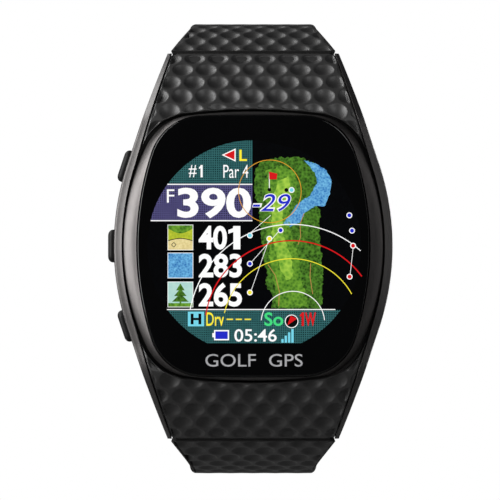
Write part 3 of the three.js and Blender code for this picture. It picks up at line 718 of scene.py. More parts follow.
icon_left, icon_size = -12.78, 3.68
icon_lows = (-0.56, -4.76, -9.11)
icon_right = icon_left + icon_size
flat("screen_icon_frames", [rectangle(icon_left - 0.08, low - 0.08, icon_right + 0.08, low + icon_size + 0.08)
                            for low in icon_lows], white, 1)
low = icon_lows[0]
flat("screen_icon_sand", [rectangle(icon_left, low, icon_right, low + icon_size)], sand, 2)
flat("screen_icon_lawn", [[(icon_left, low + 1.35)] + [
    (icon_left + icon_size * t, low + 1.35 + 0.35 * math.sin(math.pi * t)) for t in np.linspace(0.05, 0.95, 12)]
    + [(icon_right, low + 1.35), (icon_right, low + icon_size), (icon_left, low + icon_size)]], lawn, 3)
flat("screen_icon_hill", [[(icon_left, low + icon_size), (icon_left, low + 3.2)] + [
    (icon_left + icon_size * t, low + 3.2 - 0.75 * math.sin(math.pi * t)) for t in np.linspace(0.05, 0.95, 12)]
    + [(icon_right, low + 3.2), (icon_right, low + icon_size)]], rough_grass, 4)
flat("screen_icon_line", stroke([(icon_left + icon_size * t, low + 1.35 + 0.35 * math.sin(math.pi * t))
                                 for t in np.linspace(0, 1, 13)], 0.12)
     + stroke([(icon_left + 0.5, low + 0.75), (icon_left + 0.85, low + 1.1), (icon_left + 1.2, low + 0.75),
               (icon_left + 0.85, low + 0.4), (icon_left + 0.5, low + 0.75)], 0.09), black, 5)
flat("screen_icon_water", [rectangle(icon_left, icon_lows[1], icon_right, icon_lows[1] + icon_size)], water, 2)
low = icon_lows[2]
flat("screen_icon_sky", [rectangle(icon_left, low, icon_right, low + icon_size)], sky_tone, 2)
flat("screen_icon_grass", [rectangle(icon_left, low, icon_right, low + 0.55)], rough_grass, 3)
tree_x = (icon_left + icon_right) / 2
flat("screen_icon_tree", [
    [(tree_x - 1.25 + 0.3 * i, low + 0.75 + 0.85 * i), (tree_x + 1.25 - 0.3 * i, low + 0.75 + 0.85 * i),
     (tree_x, low + 2.0 + 0.75 * i)] for i in range(3)]
     + [rectangle(tree_x - 0.14, low + 0.3, tree_x + 0.14, low + 0.9)], trees, 4)

flat("screen_rules", [rectangle(-12.9, 9.17, band_right, 9.33), rectangle(-15.4, 3.72, band_right, 3.88),
                      rectangle(-12.95, -9.6, 12.3, -9.46)], white, 2)
flat("screen_white_figures",
     figures("#", -9.7, 10.3, -8.5, 12.15) + figure_one(-8.15, 10.3, -7.6, 12.15)
     + figures("Par 4", -4.5, 10.2, -0.75, 12.2)
     + figures("F", -12.97, 6.5, -11.85, 8.5) + figures("390", -11.4, 4.15, -0.3, 8.75, bold=0.03)
     + figures("40", -8.2, -0.55, -3.95, 3.05, bold=0.03) + figure_one(-3.75, -0.5, -1.95, 3.0)
     + figures("283", -8.2, -4.75, -1.7, -1.15, bold=0.03)
     + figures("265", -8.2, -9.1, -1.7, -5.5, bold=0.03)
     + figures("05:46", -2.85, -14.35, 3.5, -12.45, bold=0.01), white, 3)
flat("screen_yellow_figures", figures("L", -2.1, 12.75, -0.95, 14.45, bold=0.02)
     + figures("Drv", -7.05, -12.0, -4.4, -9.95, bold=0.01)
     + [rectangle(x, -11.1, x + 0.95, -10.9) for x in (-4.0, -2.65, -1.3)], yellow, 3)
flat("screen_green_figures", figures("So", 1.65, -12.0, 4.5, -9.95, bold=0.02), green, 3)
flat("screen_red_figures", figure_one(6.98, -12.0, 7.6, -9.95)
     + figures("W", 7.75, -12.0, 9.4, -9.95, bold=0.03), red, 4)
flat("screen_hole_box", [rectangle(-9.82, -12.04, -7.38, -9.86)], cyan, 3)
flat("screen_hole_letter", figures("H", -9.4, -11.75, -7.8, -10.15, bold=0.04), black, 4)
flat("screen_wind_edge", [[(-4.75, 13.65), (-2.65, 14.65), (-2.65, 12.65)]], white, 2)
flat("screen_wind", [[(-4.4, 13.65), (-2.82, 14.38), (-2.82, 12.92)]], red, 3)
flat("screen_battery", [rectangle(-5.9, -14.15, -3.64, -12.6), rectangle(-6.15, -13.7, -5.9, -13.05)], white, 3)
flat("screen_battery_level", [rectangle(-5.7, -13.95, -3.84, -12.8)], blue, 4)
flat("screen_signal", [rectangle(4.2 + 0.5 * i, -14.5, 4.55 + 0.5 * i, -13.95 + 0.5 * i)
                       for i in range(4)], cyan, 3)
flat("screen_compass_edge", [disc(5.74, -11.3, 1.02)], white, 2)
flat("screen_compass_face", [disc(5.74, -11.3, 0.9)], black, 3)
flat("screen_compass_needle", [[(5.1, -11.9), (5.6, -10.45), (6.55, -10.9)]], red, 4)

range_x, range_z = 5.75, -12.2
flat("screen_white_arcs", stroke(arc_points(range_x, range_z, 15.45, 48, 170), 0.14)
     + stroke(arc_points(5.93, -11.55, 4.76, 5, 175), 0.12)
     + stroke([(-0.5, -2.66), (4.0, 2.4)], 0.08) + stroke([(-0.4, -6.9), (2.4, 1.1)], 0.08)
     + stroke([(2.6, 4.6), (-0.4, 2.0)], 0.08) + stroke([(15.0, 0.0), (14.5, -4.5)], 0.08), white, 5)
flat("screen_red_arc", stroke(arc_points(range_x, range_z, 13.0, 36, 172), 0.18), red, 5)
flat("screen_yellow_arc", stroke(arc_points(range_x, range_z, 10.3, 29, 168), 0.13), yellow, 5)
flat("screen_orange_circle", stroke(arc_points(2.48, 8.2, 4.7, 0, 360, 72), 0.11), orange, 5)
dots = {"blue": ((-0.52, -2.66), (4.09, 2.36), (14.4, 4.6), (14.8, 2.3)), "cyan": ((-0.52, 1.58), (5.74, 8.4)),
        "yellow": ((-0.52, -6.97), (2.4, 1.09)), "red": ((14.96, 0.04), (14.44, -4.6))}
flat("screen_dot_edges", [disc(x, z, 0.44) for places in dots.values() for x, z in places], white, 6)
for tone, material in (("blue", blue), ("cyan", cyan), ("yellow", yellow), ("red", red)):
    flat(f"screen_dots_{tone}", [disc(x, z, 0.3) for x, z in dots[tone]], material, 7)
flat("screen_pin", stroke([(2.4, 11.0), (2.4, 8.6)], 0.12), white, 6)
flat("screen_flag", [[(2.35, 11.15), (3.6, 10.85), (3.5, 10.0), (2.4, 10.0)]], red, 7)
flat("screen_cup", [disc(2.4, 8.45, 0.28), disc(4.95, 8.4, 0.3)], black, 6)
flat("screen_height_edge", figures("-29", -0.2, 5.1, 5.7, 7.9, bold=0.04, slant=0.25), white, 6)
flat("screen_height", figures("-29", -0.1, 5.2, 5.6, 7.8, bold=0.0, slant=0.25), blue, 7)
# Silver print on the glass below the screen, drawn as a glowing layer: painted light that stands in for the lit
# silver ink.
print_glow_tone = screen_paint("print_silver_glow", linear(190, 190, 192), linear(160, 160, 164), 0.5, strength=0.85)
flat("printed_words", figures("GOLF  GPS", -7.2, -18.1, 7.4, -16.2, bold=0.0), print_glow_tone, 1)


# ---- Buttons ----
# Three moulded black caps, each with a domed outer face, set in pockets of the left rail.

button_finish, field, shader = surface("button_black", Metallic=0.0, Specular_IOR_Level=0.12)
place = field.node("ShaderNodeTexCoord", output="Object")
speckle = field.node("ShaderNodeTexNoise", links={"Vector": place, "Scale": 4000.0, "Detail": 3.0})
worn = field.node("ShaderNodeTexNoise", links={"Vector": place, "Scale": 400.0})
drive(shader, "Base Color", worn.mixed((0.005, 0.005, 0.005), (0.011, 0.011, 0.011)))
drive(shader, "Roughness", speckle * 0.15 + 0.42)
bump(field, shader, speckle, 0.15, 0.02 * mm)
button_top = rail_radius + 1.05
for word, tilt in button_tilts.items():
    on_rail = rail_frame(tilt)
    rings = []
    for out, shrink in ((35.0, 0.35), (37.4, 0.35), (37.5, 0.0), (button_top - 0.75, 0.0)):
        rings.append([on_rail(out, a, button_depth + c) for a, c in
                      capsule(button_length - 2 * shrink, button_width - 2 * shrink)])
    for i in range(1, 9):
        turn = math.radians(90 * i / 8)
        shrink = 0.85 * (1 - math.cos(turn))
        rings.append([on_rail(button_top - 0.75 + 0.75 * math.sin(turn), a, button_depth + c) for a, c in
                      capsule(button_length - 2 * shrink, button_width - 2 * shrink)])
    cap = loft(f"{word}_button_cap", rings, button_finish, smooth=50)
    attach(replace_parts(cap, f"{word}_button"), f"{word}_button")


# ---- End plates ----
# Moulded rubber heads screwed between the horns, from the bezel to the hinge line, with corner
# tabs beside the bezel. Golf-ball dimples in close-packed rows cover them.

rubber, field, shader = surface("strap_rubber", Metallic=0.0, Specular_IOR_Level=0.75)
place = field.node("ShaderNodeTexCoord", output="Object")
grain = field.node("ShaderNodeTexNoise", links={
    "Vector": place, "Scale": 5200.0, "Detail": 4.0, "Roughness": 0.6})
haze = field.node("ShaderNodeTexNoise", links={"Vector": place, "Scale": 160.0, "Detail": 3.0})
drive(shader, "Base Color", haze.mixed((0.010, 0.0096, 0.0092), (0.016, 0.0154, 0.0149)))
drive(shader, "Roughness", 0.4 + grain * 0.14 + haze * 0.06)
bump(field, shader, grain, 0.14, 0.03 * mm)

dimple_pitch = 3.6
dimple_row_step = 3.13
dimple_diameter = 3.15
dimple_depth = 0.62
first_row = 2.87
head_length = 13.88


def dimple_nodes():
    """Geometry nodes that press rows of round dimples into a surface along its own inward direction."""
    tree = bpy.data.node_groups.new("golf_ball_dimples", "GeometryNodeTree")
    inputs = (("Geometry", "NodeSocketGeometry"), ("Pitch", "NodeSocketFloat"), ("Row Step", "NodeSocketFloat"),
              ("Diameter", "NodeSocketFloat"), ("Depth", "NodeSocketFloat"), ("Seed", "NodeSocketInt"),
              ("Material", "NodeSocketMaterial"))
    for name, kind in inputs:
        tree.interface.new_socket(name, in_out="INPUT", socket_type=kind)
    tree.interface.new_socket("Geometry", in_out="OUTPUT", socket_type="NodeSocketGeometry")
    field = Field(tree)
    given = tree.nodes.new("NodeGroupInput")
    value = {name: Field(tree, given.outputs[name]) for name, _ in inputs}

    def attribute(name, kind="FLOAT"):
        return field.node("GeometryNodeInputNamedAttribute", {"data_type": kind}, {"Name": name})

    along, across, fade = attribute("along"), attribute("across"), attribute("fade")
    nearest = along.maths("ROUND", along / value["Row Step"])
    side = along.maths("SIGN", along - nearest * value["Row Step"])
    shares = []
    for row in (nearest, nearest + side):
        past_row = along - row * value["Row Step"]
        shifted = across + row.maths("FLOORED_MODULO", row, 2.0) * value["Pitch"] * 0.5
        column = shifted.maths("ROUND", shifted / value["Pitch"])
        past_column = shifted - column * value["Pitch"]
        reach = past_row * past_row + past_column * past_column
        uneven = field.node("FunctionNodeRandomValue", {"data_type": "FLOAT"}, {
            2: 0.94, 3: 1.06, "ID": row * 61.0 + column, "Seed": value["Seed"]}, output=1)
        shares.append((1.0 - reach / (value["Diameter"] * value["Diameter"] * 0.25)).clamped() * uneven)
    share = along.maths("MAXIMUM", *shares)
    press = share * value["Depth"] * fade
    inward = attribute("inward", "FLOAT_VECTOR")
    offset = field.node("ShaderNodeVectorMath", {"operation": "SCALE"}, {0: inward, "Scale": press})
    pressed = field.node("GeometryNodeSetPosition", links={"Geometry": value["Geometry"], "Offset": offset})
    whole = field.node("GeometryNodeRealizeInstances", links={"Geometry": pressed})
    painted = field.node("GeometryNodeSetMaterial", links={"Geometry": whole, "Material": value["Material"]})
    field.node("NodeGroupOutput", links={"Geometry": painted})
    return tree


dimple_tree = dimple_nodes()


def dimpled(piece, along, across, fade, inward):
    """Presses dimples into a piece; the lists give each vertex's place in the pattern in millimetres."""
    mesh = piece.data
    for name, values in (("along", along), ("across", across), ("fade", fade)):
        mesh.attributes.new(name, "FLOAT", "POINT").data.foreach_set("value", np.array(values, np.float32))
    mesh.attributes.new("inward", "FLOAT_VECTOR", "POINT").data.foreach_set(
        "vector", np.array(inward, np.float32).ravel())
    modifier = piece.modifiers.new("dimples", "NODES")
    modifier.node_group = dimple_tree
    settings = {"Pitch": dimple_pitch, "Row Step": dimple_row_step, "Diameter": dimple_diameter,
                "Depth": dimple_depth * mm, "Seed": 7, "Material": rubber}
    for socket in dimple_tree.interface.items_tree:
        if socket.in_out == "INPUT" and socket.name in settings:
            modifier[socket.identifier] = settings[socket.name]
    return made_plain(piece)


def grid_piece(name, rows, material, closed=True, smooth=60):
    """Mesh from rows of points, kept in order so that per-vertex lists stay valid."""
    count = len(rows[0])
    faces = []
    for i in range(len(rows) - 1):
        for j in range(count if closed else count - 1):
            k = (j + 1) % count
            faces.append((i * count + j, i * count + k, (i + 1) * count + k, (i + 1) * count + j))
    if closed:
        faces.append(tuple(range(count))[::-1])
        faces.append(tuple(range((len(rows) - 1) * count, len(rows) * count)))
    mesh = bpy.data.meshes.new(name)
    mesh.from_pydata([tuple(v) for row in rows for v in row], [], faces)
    work = bmesh.new()
    work.from_mesh(mesh)
    bmesh.ops.recalc_face_normals(work, faces=work.faces)
    work.to_mesh(mesh)
    work.free()
    mesh.materials.append(material)
    mesh.shade_smooth()
    mesh.set_sharp_from_angle(angle=math.radians(smooth))
    piece = bpy.data.objects.new(name, mesh)
    scene.collection.objects.link(piece)
    return piece


def eased(value, low, high):
    t = min(1.0, max(0.0, (value - low) / (high - low)))
    return t * t * (3 - 2 * t)


tab_low = 14.6
head_gap = 0.1
crease_height = 29.69
head_rows, head_columns = 104, 210
head_front = [z for z in np.linspace(tab_low, crease_height, 400)]
head_lengths = np.concatenate([[0], np.cumsum(np.hypot(
    np.diff(head_front), np.diff([front_depth(z) for z in head_front])))])
head_lengths += head_length - head_lengths[-1]


def head_inward(z):
    """Direction into the rubber at a height on the head."""
    step = 0.01
    slope = (front_depth(z) - front_depth(z - step)) / step
    return Vector((0, 1, -slope)).normalized() if slope > 0 else Vector((0, 1, 0))


for end, word in ((1, "upper"), (-1, "lower")):
    outline = cushion(**inset(BEZEL, -0.5), fine=24)
    quarter = sorted((x, z) for x, z in outline if z > 0 and x >= 0)
    rows, along, across, fade, inward = [], [], [], [], []
    columns = []
    for u in np.linspace(-1, 1, head_columns):
        u = math.sin(u * math.pi / 2) * 0.55 + u * 0.45
        low, high = tab_low, crease_height
        for _ in range(24):
            middle = (low + high) / 2
            x = abs(u) * (rail_x(middle) - rail_width(middle) - head_gap)
            outline_height = np.interp(x, [p[0] for p in quarter], [p[1] for p in quarter])
            inside = x < quarter[-1][0] and middle < outline_height
            low, high = (middle, high) if inside else (low, middle)
        columns.append((u, high))
    skin = []
    for i in range(head_rows + 1):
        row = []
        for u, start in columns:
            z = start + (crease_height - start) * i / head_rows
            x = u * (rail_x(z) - rail_width(z) - head_gap)
            row.append((x, z, u))
        skin.append(row)
    for i, row in enumerate(skin):
        front_row = []
        for x, z, u in row:
            from_edge = min((1 - abs(u)) * 13.0, (crease_height - z) * 1.3 + 0.001, i * 0.13)
            rounding = 0.28 * (1 - min(1, from_edge / 0.34)) ** 2
            length = float(np.interp(z, head_front, head_lengths))
            direction = head_inward(z)
            point = spot(end * x, front_depth(z), end * z)
            turned = Vector((0, direction.y, end * direction.z))
            front_row.append(point + turned * rounding * mm)
            along.append(length - first_row)
            across.append(x)
            fade.append(eased(from_edge, 0.1, 0.5))
            inward.append(turned)
        rows.append(front_row)
    deep = 2.4
    count = head_columns
    vertices = [point for row in rows for point in row]
    edge = [(0, j) for j in range(count)]
    edge += [(i, count - 1) for i in range(1, head_rows + 1)]
    edge += [(head_rows, j) for j in range(count - 2, -1, -1)]
    edge += [(i, 0) for i in range(head_rows - 1, 0, -1)]
    faces = [(i * count + j, i * count + j + 1, (i + 1) * count + j + 1, (i + 1) * count + j)
             for i in range(head_rows) for j in range(count - 1)]
    start = len(vertices)
    for i, j in edge:
        x, z, u = skin[i][j]
        direction = head_inward(z)
        base = spot(end * x, front_depth(z) + 0.28, end * z)
        if z > 20.8:
            reach = deep
            vertices.append(base + Vector((0, direction.y, end * direction.z)) * reach * mm)
        else:
            vertices.append(spot(end * x, 3.3, end * z))
        along.append(-99)
        across.append(0)
        fade.append(0)
        inward.append(Vector((0, 1, 0)))
    for n, (i, j) in enumerate(edge):
        m = (n + 1) % len(edge)
        i2, j2 = edge[m]
        faces.append((i * count + j, start + n, start + m, i2 * count + j2))
    faces.append(tuple(range(start, start + len(edge))))
    mesh = bpy.data.meshes.new(f"{word}_head")
    mesh.from_pydata([tuple(v) for v in vertices], [], faces)
    work = bmesh.new()
    work.from_mesh(mesh)
    bmesh.ops.recalc_face_normals(work, faces=work.faces)
    work.to_mesh(mesh)
    work.free()
    mesh.shade_smooth()
    head = bpy.data.objects.new(f"{word}_head", mesh)
    scene.collection.objects.link(head)
    dimpled(head, along, across, fade, inward)
    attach(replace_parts(head, f"{word}_end_plate"), "case")


# ---- Straps ----
# Two moulded rubber straps on knuckles round the spring bars. The dimples of the heads run on
# over their roots and die out into smooth rubber. The upper one ends in a fork round the
# buckle's bar; the lower one tapers to a round tip and has the row of holes.

crease = (12.498, 29.691, math.radians(59))
lines = {
    "upper": ((42.5, 42.5 * math.radians(31)), (24.0, 24.0 * math.radians(90)), (0.0, 16.0)),
    "lower": ((50.0, 50.0 * math.radians(31)), (62.0, 62.0 * math.radians(75))),
}
strap_notch = 1.0
dimples_end = 30.0
tip_length = 9
hole_count, hole_pitch, hole_radius, first_hole = 9, 6.5, 1.1, 15
relief_radius = 3.15

# Matt finish of the inner and side faces
lining, field, shader = surface("strap_lining", Metallic=0.0, Specular_IOR_Level=0.08)
place = field.node("ShaderNodeTexCoord", output="Object")
grain = field.node("ShaderNodeTexNoise", links={
    "Vector": place, "Scale": 900.0, "Detail": 4.0, "Roughness": 0.6})
haze = field.node("ShaderNodeTexNoise", links={"Vector": place, "Scale": 120.0, "Detail": 3.0})
drive(shader, "Base Color", haze.mixed((0.015, 0.0145, 0.014), (0.021, 0.0204, 0.0199)))
drive(shader, "Roughness", 0.72 + grain * 0.12)
bump(field, shader, grain, 0.04, 0.02 * mm)


def strap_line(line, length):
    """Depth, height and heading of a strap's outer line after a length from the crease."""
    depth, z, heading = crease
    for radius, run in line:
        step = min(length, run)
        if radius:
            depth += radius * (math.cos(heading) - math.cos(heading + step / radius))
            z += radius * (math.sin(heading + step / radius) - math.sin(heading))
            heading += step / radius
        else:
            depth += step * math.sin(heading)
            z += step * math.cos(heading)
        length -= step
    return depth, z, heading


def strap_half_width(length):
    shoulder = 3.35 * max(0, 1 - length / 16) ** 1.6
    return 10.15 + shoulder - 1.15 * eased(length, 20, 50)


def strap_thickness(length):
    return 3 + 2.6 * max(0, 1 - length / 12) ** 2


def strap_piece(name, word, end, stations, half_width, columns=150):
    """Closed strap with rounded edges, dimpled on its outer face near the case."""
    line = lines[word]
    rows, along, across, fade, inward = [], [], [], [], []
    for length in stations:
        depth, z, heading = strap_line(line, length)
        thick = strap_thickness(length) - 0.04
        wide = half_width(length) - 0.03
        soft = min(0.95, wide * 0.5)
        edge = []
        for i in range(columns + 1):
            edge.append((wide - soft - 2 * (wide - soft) * i / columns, 0.0))
        for i in range(1, 7):
            turn = math.radians(90 * i / 6)
            edge.append((-(wide - soft) - soft * math.sin(turn), soft * (1 - math.cos(turn))))
        edge.append((-wide, thick / 2))
        for i in range(0, 7):
            turn = math.radians(90 * i / 6)
            edge.append((-wide + soft * (1 - math.cos(turn)), thick - soft + soft * math.sin(turn)))
        for i in range(1, 12):
            edge.append((-(wide - soft) + 2 * (wide - soft) * i / 12, thick))
        for i in range(0, 7):
            turn = math.radians(90 * i / 6)
            edge.append((wide - soft + soft * math.sin(turn), thick - soft + soft * math.cos(turn)))
        edge.append((wide, thick / 2))
        for i in range(0, 6):
            turn = math.radians(90 * i / 6)
            edge.append((wide - soft * (1 - math.cos(turn)), soft - soft * math.sin(turn)))
        into = Vector((0, math.cos(heading), -math.sin(heading)))
        row = []
        for n, (x, deep) in enumerate(edge):
            row.append(spot(end * x, depth + deep * into.y, end * (z + deep * into.z)))
            along.append(length + head_length - first_row)
            across.append(x)
            margin = min(wide - abs(x), (length - stations[0]) * 1.2 + 0.15)
            on_face = n <= columns
            fade.append(eased(margin, 0.3, 0.8) * (1 - eased(length, 14, dimples_end)) if on_face else 0.0)
            inward.append(Vector((0, into.y, end * into.z)))
        rows.append(row)
    piece = grid_piece(name, rows, rubber)
    dimpled(piece, along, across, fade, inward)
    piece.data.materials.append(lining)
    for face in piece.data.polygons:
        if columns < face.index % len(rows[0]) and len(face.vertices) == 4:
            face.material_index = 1
    return piece


def knuckle(name, end):
    """Barrel round a spring bar, with rounded ends."""
    reach, radius = 12.0, knuckle_radius - 0.02
    rings = []
    profile = [(-reach, 0.9), (-reach, radius - 0.4)]
    profile += [(-reach + 0.4 * (1 - math.cos(t)), radius - 0.4 + 0.4 * math.sin(t))
                for t in np.linspace(0.2, 1.57, 6)]
    profile += [(x, radius) for x in np.linspace(-reach + 1, reach - 1, 9)]
    profile += [(reach - 0.4 * (1 - math.cos(t)), radius - 0.4 + 0.4 * math.sin(t))
                for t in np.linspace(1.57, 0.2, 6)]
    profile += [(reach, radius - 0.4), (reach, 0.9)]
    for i in range(64):
        turn = math.tau * i / 64
        out = 1 + 0.1 * max(0.0, math.cos(turn - math.radians(149))) ** 2
        rings.append([spot(end * x, bar_depth + r * out * math.cos(turn),
                           end * (bar_height + r * out * math.sin(turn))) for x, r in profile])
    return loft(name, rings, rubber, loop=True)


def prism(half_width, low_depth, high_depth, low, high):
    """A cutting block, given by its half-width and by depths and heights."""
    return loft("cutter", [[spot(x, low_depth, low), spot(x, high_depth, low), spot(x, high_depth, high),
                            spot(x, low_depth, high)] for x in (-half_width, half_width)], None)


upper_length = sum(run for _, run in lines["upper"])
lower_length = sum(run for _, run in lines["lower"])
fine = np.arange(strap_notch, dimples_end, 0.24)
upper_stations = list(fine) + list(np.linspace(dimples_end, upper_length - 0.1, 42))
upper = strap_piece("upper_strap_rubber", "upper", 1, upper_stations, strap_half_width)
buckle_bar_depth, buckle_bar_z, _ = strap_line(lines["upper"], upper_length)
buckle_bar_depth -= 1.5
carve(upper, prism(1.35, buckle_bar_depth - 4, buckle_bar_depth + 4, buckle_bar_z - 3, buckle_bar_z + 3))


def round_tip(length):
    past = max(0.0, length - (lower_length - tip_length)) / tip_length
    return max(0.6, strap_half_width(length) * math.sqrt(max(0.0, 1 - min(1.0, past) ** 2)))


lower_stations = list(fine) + list(np.linspace(dimples_end, lower_length - tip_length, 56))
lower_stations += [lower_length - tip_length * math.cos(t) for t in np.linspace(0.06, math.pi / 2 - 0.02, 24)]
lower = strap_piece("lower_strap_rubber", "lower", -1, lower_stations, round_tip)
for i in range(hole_count):
    depth, z, heading = strap_line(lines["lower"], lower_length - first_hole - hole_pitch * i)
    into = Vector((0, math.cos(heading), math.sin(heading)))
    side = Vector((1, 0, 0))
    up = into.cross(side)
    centre = spot(0, depth, -z)
    hole = loft("cutter", [
        [centre + (into * reach + side * hole_radius * math.cos(a) + up * hole_radius * math.sin(a)) * mm
         for a in np.linspace(0, math.tau, 24, endpoint=False)] for reach in (-2, 5)], None)
    carve(lower, hole)

for piece, word, end in ((upper, "upper", 1), (lower, "lower", -1)):
    for side in (-1, 1):
        relief = [[spot(side * x, bar_depth + relief_radius * math.cos(a),
                        end * bar_height + relief_radius * math.sin(a))
                   for a in np.linspace(0, math.tau, 40, endpoint=False)] for x in (11.95, 15.0)]
        carve(piece, loft("cutter", relief, None))
    piece.data.shade_smooth()
    piece.data.set_sharp_from_angle(angle=math.radians(60))
    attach(knuckle(f"{word}_strap_knuckle", end), f"{word}_strap")
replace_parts(upper, "upper_strap", "upper_strap_end")
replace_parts(lower, "lower_strap", "lower_strap_tail")
bend_depth, bend_z, _ = strap_line(lines["upper"], lines["upper"][0][1])
spot(0, bend_depth - 6, bend_z)
spot(0, bend_depth + 8, bend_z)
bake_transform(upper)
bend_depth, bend_z, _ = strap_line(lines["lower"], lines["lower"][0][1])
spot(0, bend_depth - 6, -bend_z)
spot(0, bend_depth + 8, -bend_z)
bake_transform(lower)

# Fork round the buckle's bar: two short barrels at the strap's end
for side, word in ((-1, "left"), (1, "right")):
    profile = [(1.4, 0.9), (1.4, 1.85)] + [(x, 2.08) for x in (1.65, 4.0, 6.5, 8.7)]
    profile += [(8.95, 1.85), (8.95, 0.9)]
    rings = [[spot(side * x, buckle_bar_depth + r * math.cos(turn), buckle_bar_z + r * math.sin(turn))
              for x, r in profile] for turn in np.linspace(0, math.tau, 48, endpoint=False)]
    fork = loft(f"strap_fork_{word}", rings, rubber, loop=True, smooth=50)
    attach(fork, "upper_strap_end")


# ---- Keepers ----
# Moulded rubber loops round the upper strap: one fixed at the buckle's end, one free to slide.

def keeper_ring(name, node, body):
    """A rounded square loop that fills the box of its CAD node."""
    low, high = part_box(node)
    middle_y = (low.y + high.y) / 2 / mm
    half_x, half_y = (high.x - low.x) / 2 / mm - 0.5, (high.y - low.y) / 2 / mm - 0.5
    low_z, high_z = low.z / mm + 0.02, high.z / mm - 0.02
    corner = 1.5
    path = []
    for cx, cy, start in ((1, 1, 0), (-1, 1, 90), (-1, -1, 180), (1, -1, 270)):
        for i in range(9):
            turn = math.radians(start + 90 * i / 8)
            path.append((cx * (half_x - corner) + corner * math.cos(turn),
                         cy * (half_y - corner) + corner * math.sin(turn), turn))
    section = []
    for cx, cz, start in ((1, 1, 0), (-1, 1, 90), (-1, -1, 180), (1, -1, 270)):
        for i in range(5):
            turn = math.radians(start + 90 * i / 4)
            section.append((cx * 0.18 + 0.3 * math.cos(turn),
                            cz * ((high_z - low_z) / 2 - 0.3) + 0.3 * math.sin(turn)))
    middle_z = (low_z + high_z) / 2
    rings = [[Vector(((px + out * math.cos(turn)) * mm, (middle_y + py + out * math.sin(turn)) * mm,
                      (middle_z + up) * mm)) for out, up in section] for px, py, turn in path]
    keeper = loft(name, rings, rubber, loop=True)
    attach(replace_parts(keeper, node), body)


keeper_ring("fixed_keeper_loop", "fixed_keeper", "upper_strap_end")
keeper_ring("free_keeper_loop", "free_keeper", "free_keeper")


# ---- Buckle ----
# Dark satin steel frame with a thick crossbar, turned on a bar through the strap's fork, and a
# bent steel tongue on the same bar that rests on the crossbar.

buckle_finish = gunmetal("buckle_steel", (0.16, 0.155, 0.155), 0.34, (3000, 1500, 600))


def buckle_spot(x, out, down):
    return spot(x, buckle_bar_depth + out, buckle_bar_z - down)


def side_outline(t):
    """Lower and upper edge of a buckle side at a share of its reach, as (out, down) pairs."""
    inner = [(-1.8, 0.0), (-0.9, 1.9), (1.0, 6.6), (1.4, 10.3)]
    outer = [(-0.6, -1.5), (1.7, 0.2), (3.5, 6.0), (3.7, 10.3)]
    place = t * 3
    i = min(2, int(place))
    share = place - i
    pairs = []
    for edge in (inner, outer):
        pairs.append(tuple(edge[i][k] + (edge[i + 1][k] - edge[i][k]) * share for k in (0, 1)))
    return pairs


for side, word in ((-1, "left"), (1, "right")):
    rings = []
    for t in np.linspace(0, 1, 25):
        (ia, ib), (oa, ob) = side_outline(float(t))
        ring = []
        for i in range(24):
            turn = math.tau * i / 24
            across = math.copysign(abs(math.cos(turn)) ** 0.45, math.cos(turn)) * 0.5 + 0.5
            wide = math.copysign(abs(math.sin(turn)) ** 0.45, math.sin(turn)) * 0.86
            ring.append(buckle_spot(side * (10.3 + wide), ia + (oa - ia) * across,
                                    ib + (ob - ib) * across))
        rings.append(ring)
    rail = loft(f"buckle_side_{word}", rings, buckle_finish)
    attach(rail, "buckle")
    if side == 1:
        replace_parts(rail, "buckle_frame")
rings = []
for x in list(np.linspace(-11.15, 11.15, 41)):
    near_end = max(0, abs(x) - 10.4) / 0.8
    radius = 1.28 * math.sqrt(max(0.15, 1 - near_end ** 2))
    rings.append([buckle_spot(x, 2.6 + radius * math.cos(a), 10.6 + radius * math.sin(a))
                  for a in np.linspace(0, math.tau, 32, endpoint=False)])
crossbar = loft("buckle_crossbar", rings, buckle_finish)
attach(crossbar, "buckle")

steel, field, shader = surface("steel", Metallic=1.0)
place = field.node("ShaderNodeTexCoord", output="Object")
stretched = field.node("ShaderNodeMapping", links={"Vector": place, "Scale": (600, 6000, 6000)})
polish = field.node("ShaderNodeTexNoise", links={"Vector": stretched, "Scale": 1.0, "Detail": 4.0})
drive(shader, "Base Color", polish.mixed((0.42, 0.42, 0.43), (0.62, 0.62, 0.63)))
drive(shader, "Roughness", polish * 0.15 + 0.22)
bump(field, shader, polish, 0.1, 0.01 * mm)

tongue_line = [(-1.2, -1.2), (1.35, 0.2), (1.75, 1.5), (2.6, 4.0), (3.6, 7.0), (4.55, 9.6), (5.05, 11.0),
               (5.1, 11.9)]
rings = []
for i, (out, down) in enumerate(tongue_line):
    if i == 0:
        continue
    before = tongue_line[i - 1]
    after = tongue_line[min(i + 1, len(tongue_line) - 1)]
    run = math.hypot(after[0] - before[0], after[1] - before[1])
    nx, nz = (after[1] - before[1]) / run, -(after[0] - before[0]) / run
    thick = (0.55, 0.55, 0.55, 0.52, 0.5, 0.45, 0.3)[i - 1]
    wide = (0.95, 0.95, 0.92, 0.9, 0.86, 0.8, 0.55)[i - 1]
    rings.append([buckle_spot(wide * math.cos(a), out + nx * thick * math.sin(a), down + nz * thick * math.sin(a))
                  for a in np.linspace(0, math.tau, 20, endpoint=False)])
finger = loft("buckle_tongue_finger", rings, steel)
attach(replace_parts(finger, "buckle_tongue"), "tongue")
profile = [(-0.95, 0.95), (-0.95, 1.5), (-0.75, 1.72), (0.75, 1.72), (0.95, 1.5), (0.95, 0.95)]
rings = [[buckle_spot(x, r * math.cos(turn), r * math.sin(turn)) for x, r in profile]
         for turn in np.linspace(0, math.tau, 40, endpoint=False)]
eye = loft("buckle_tongue_eye", rings, steel, loop=True)
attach(eye, "tongue")


# ---- Case back ----
# Dark fibre-filled plastic lid with a rounded rim, four recessed screws and four gold contacts.

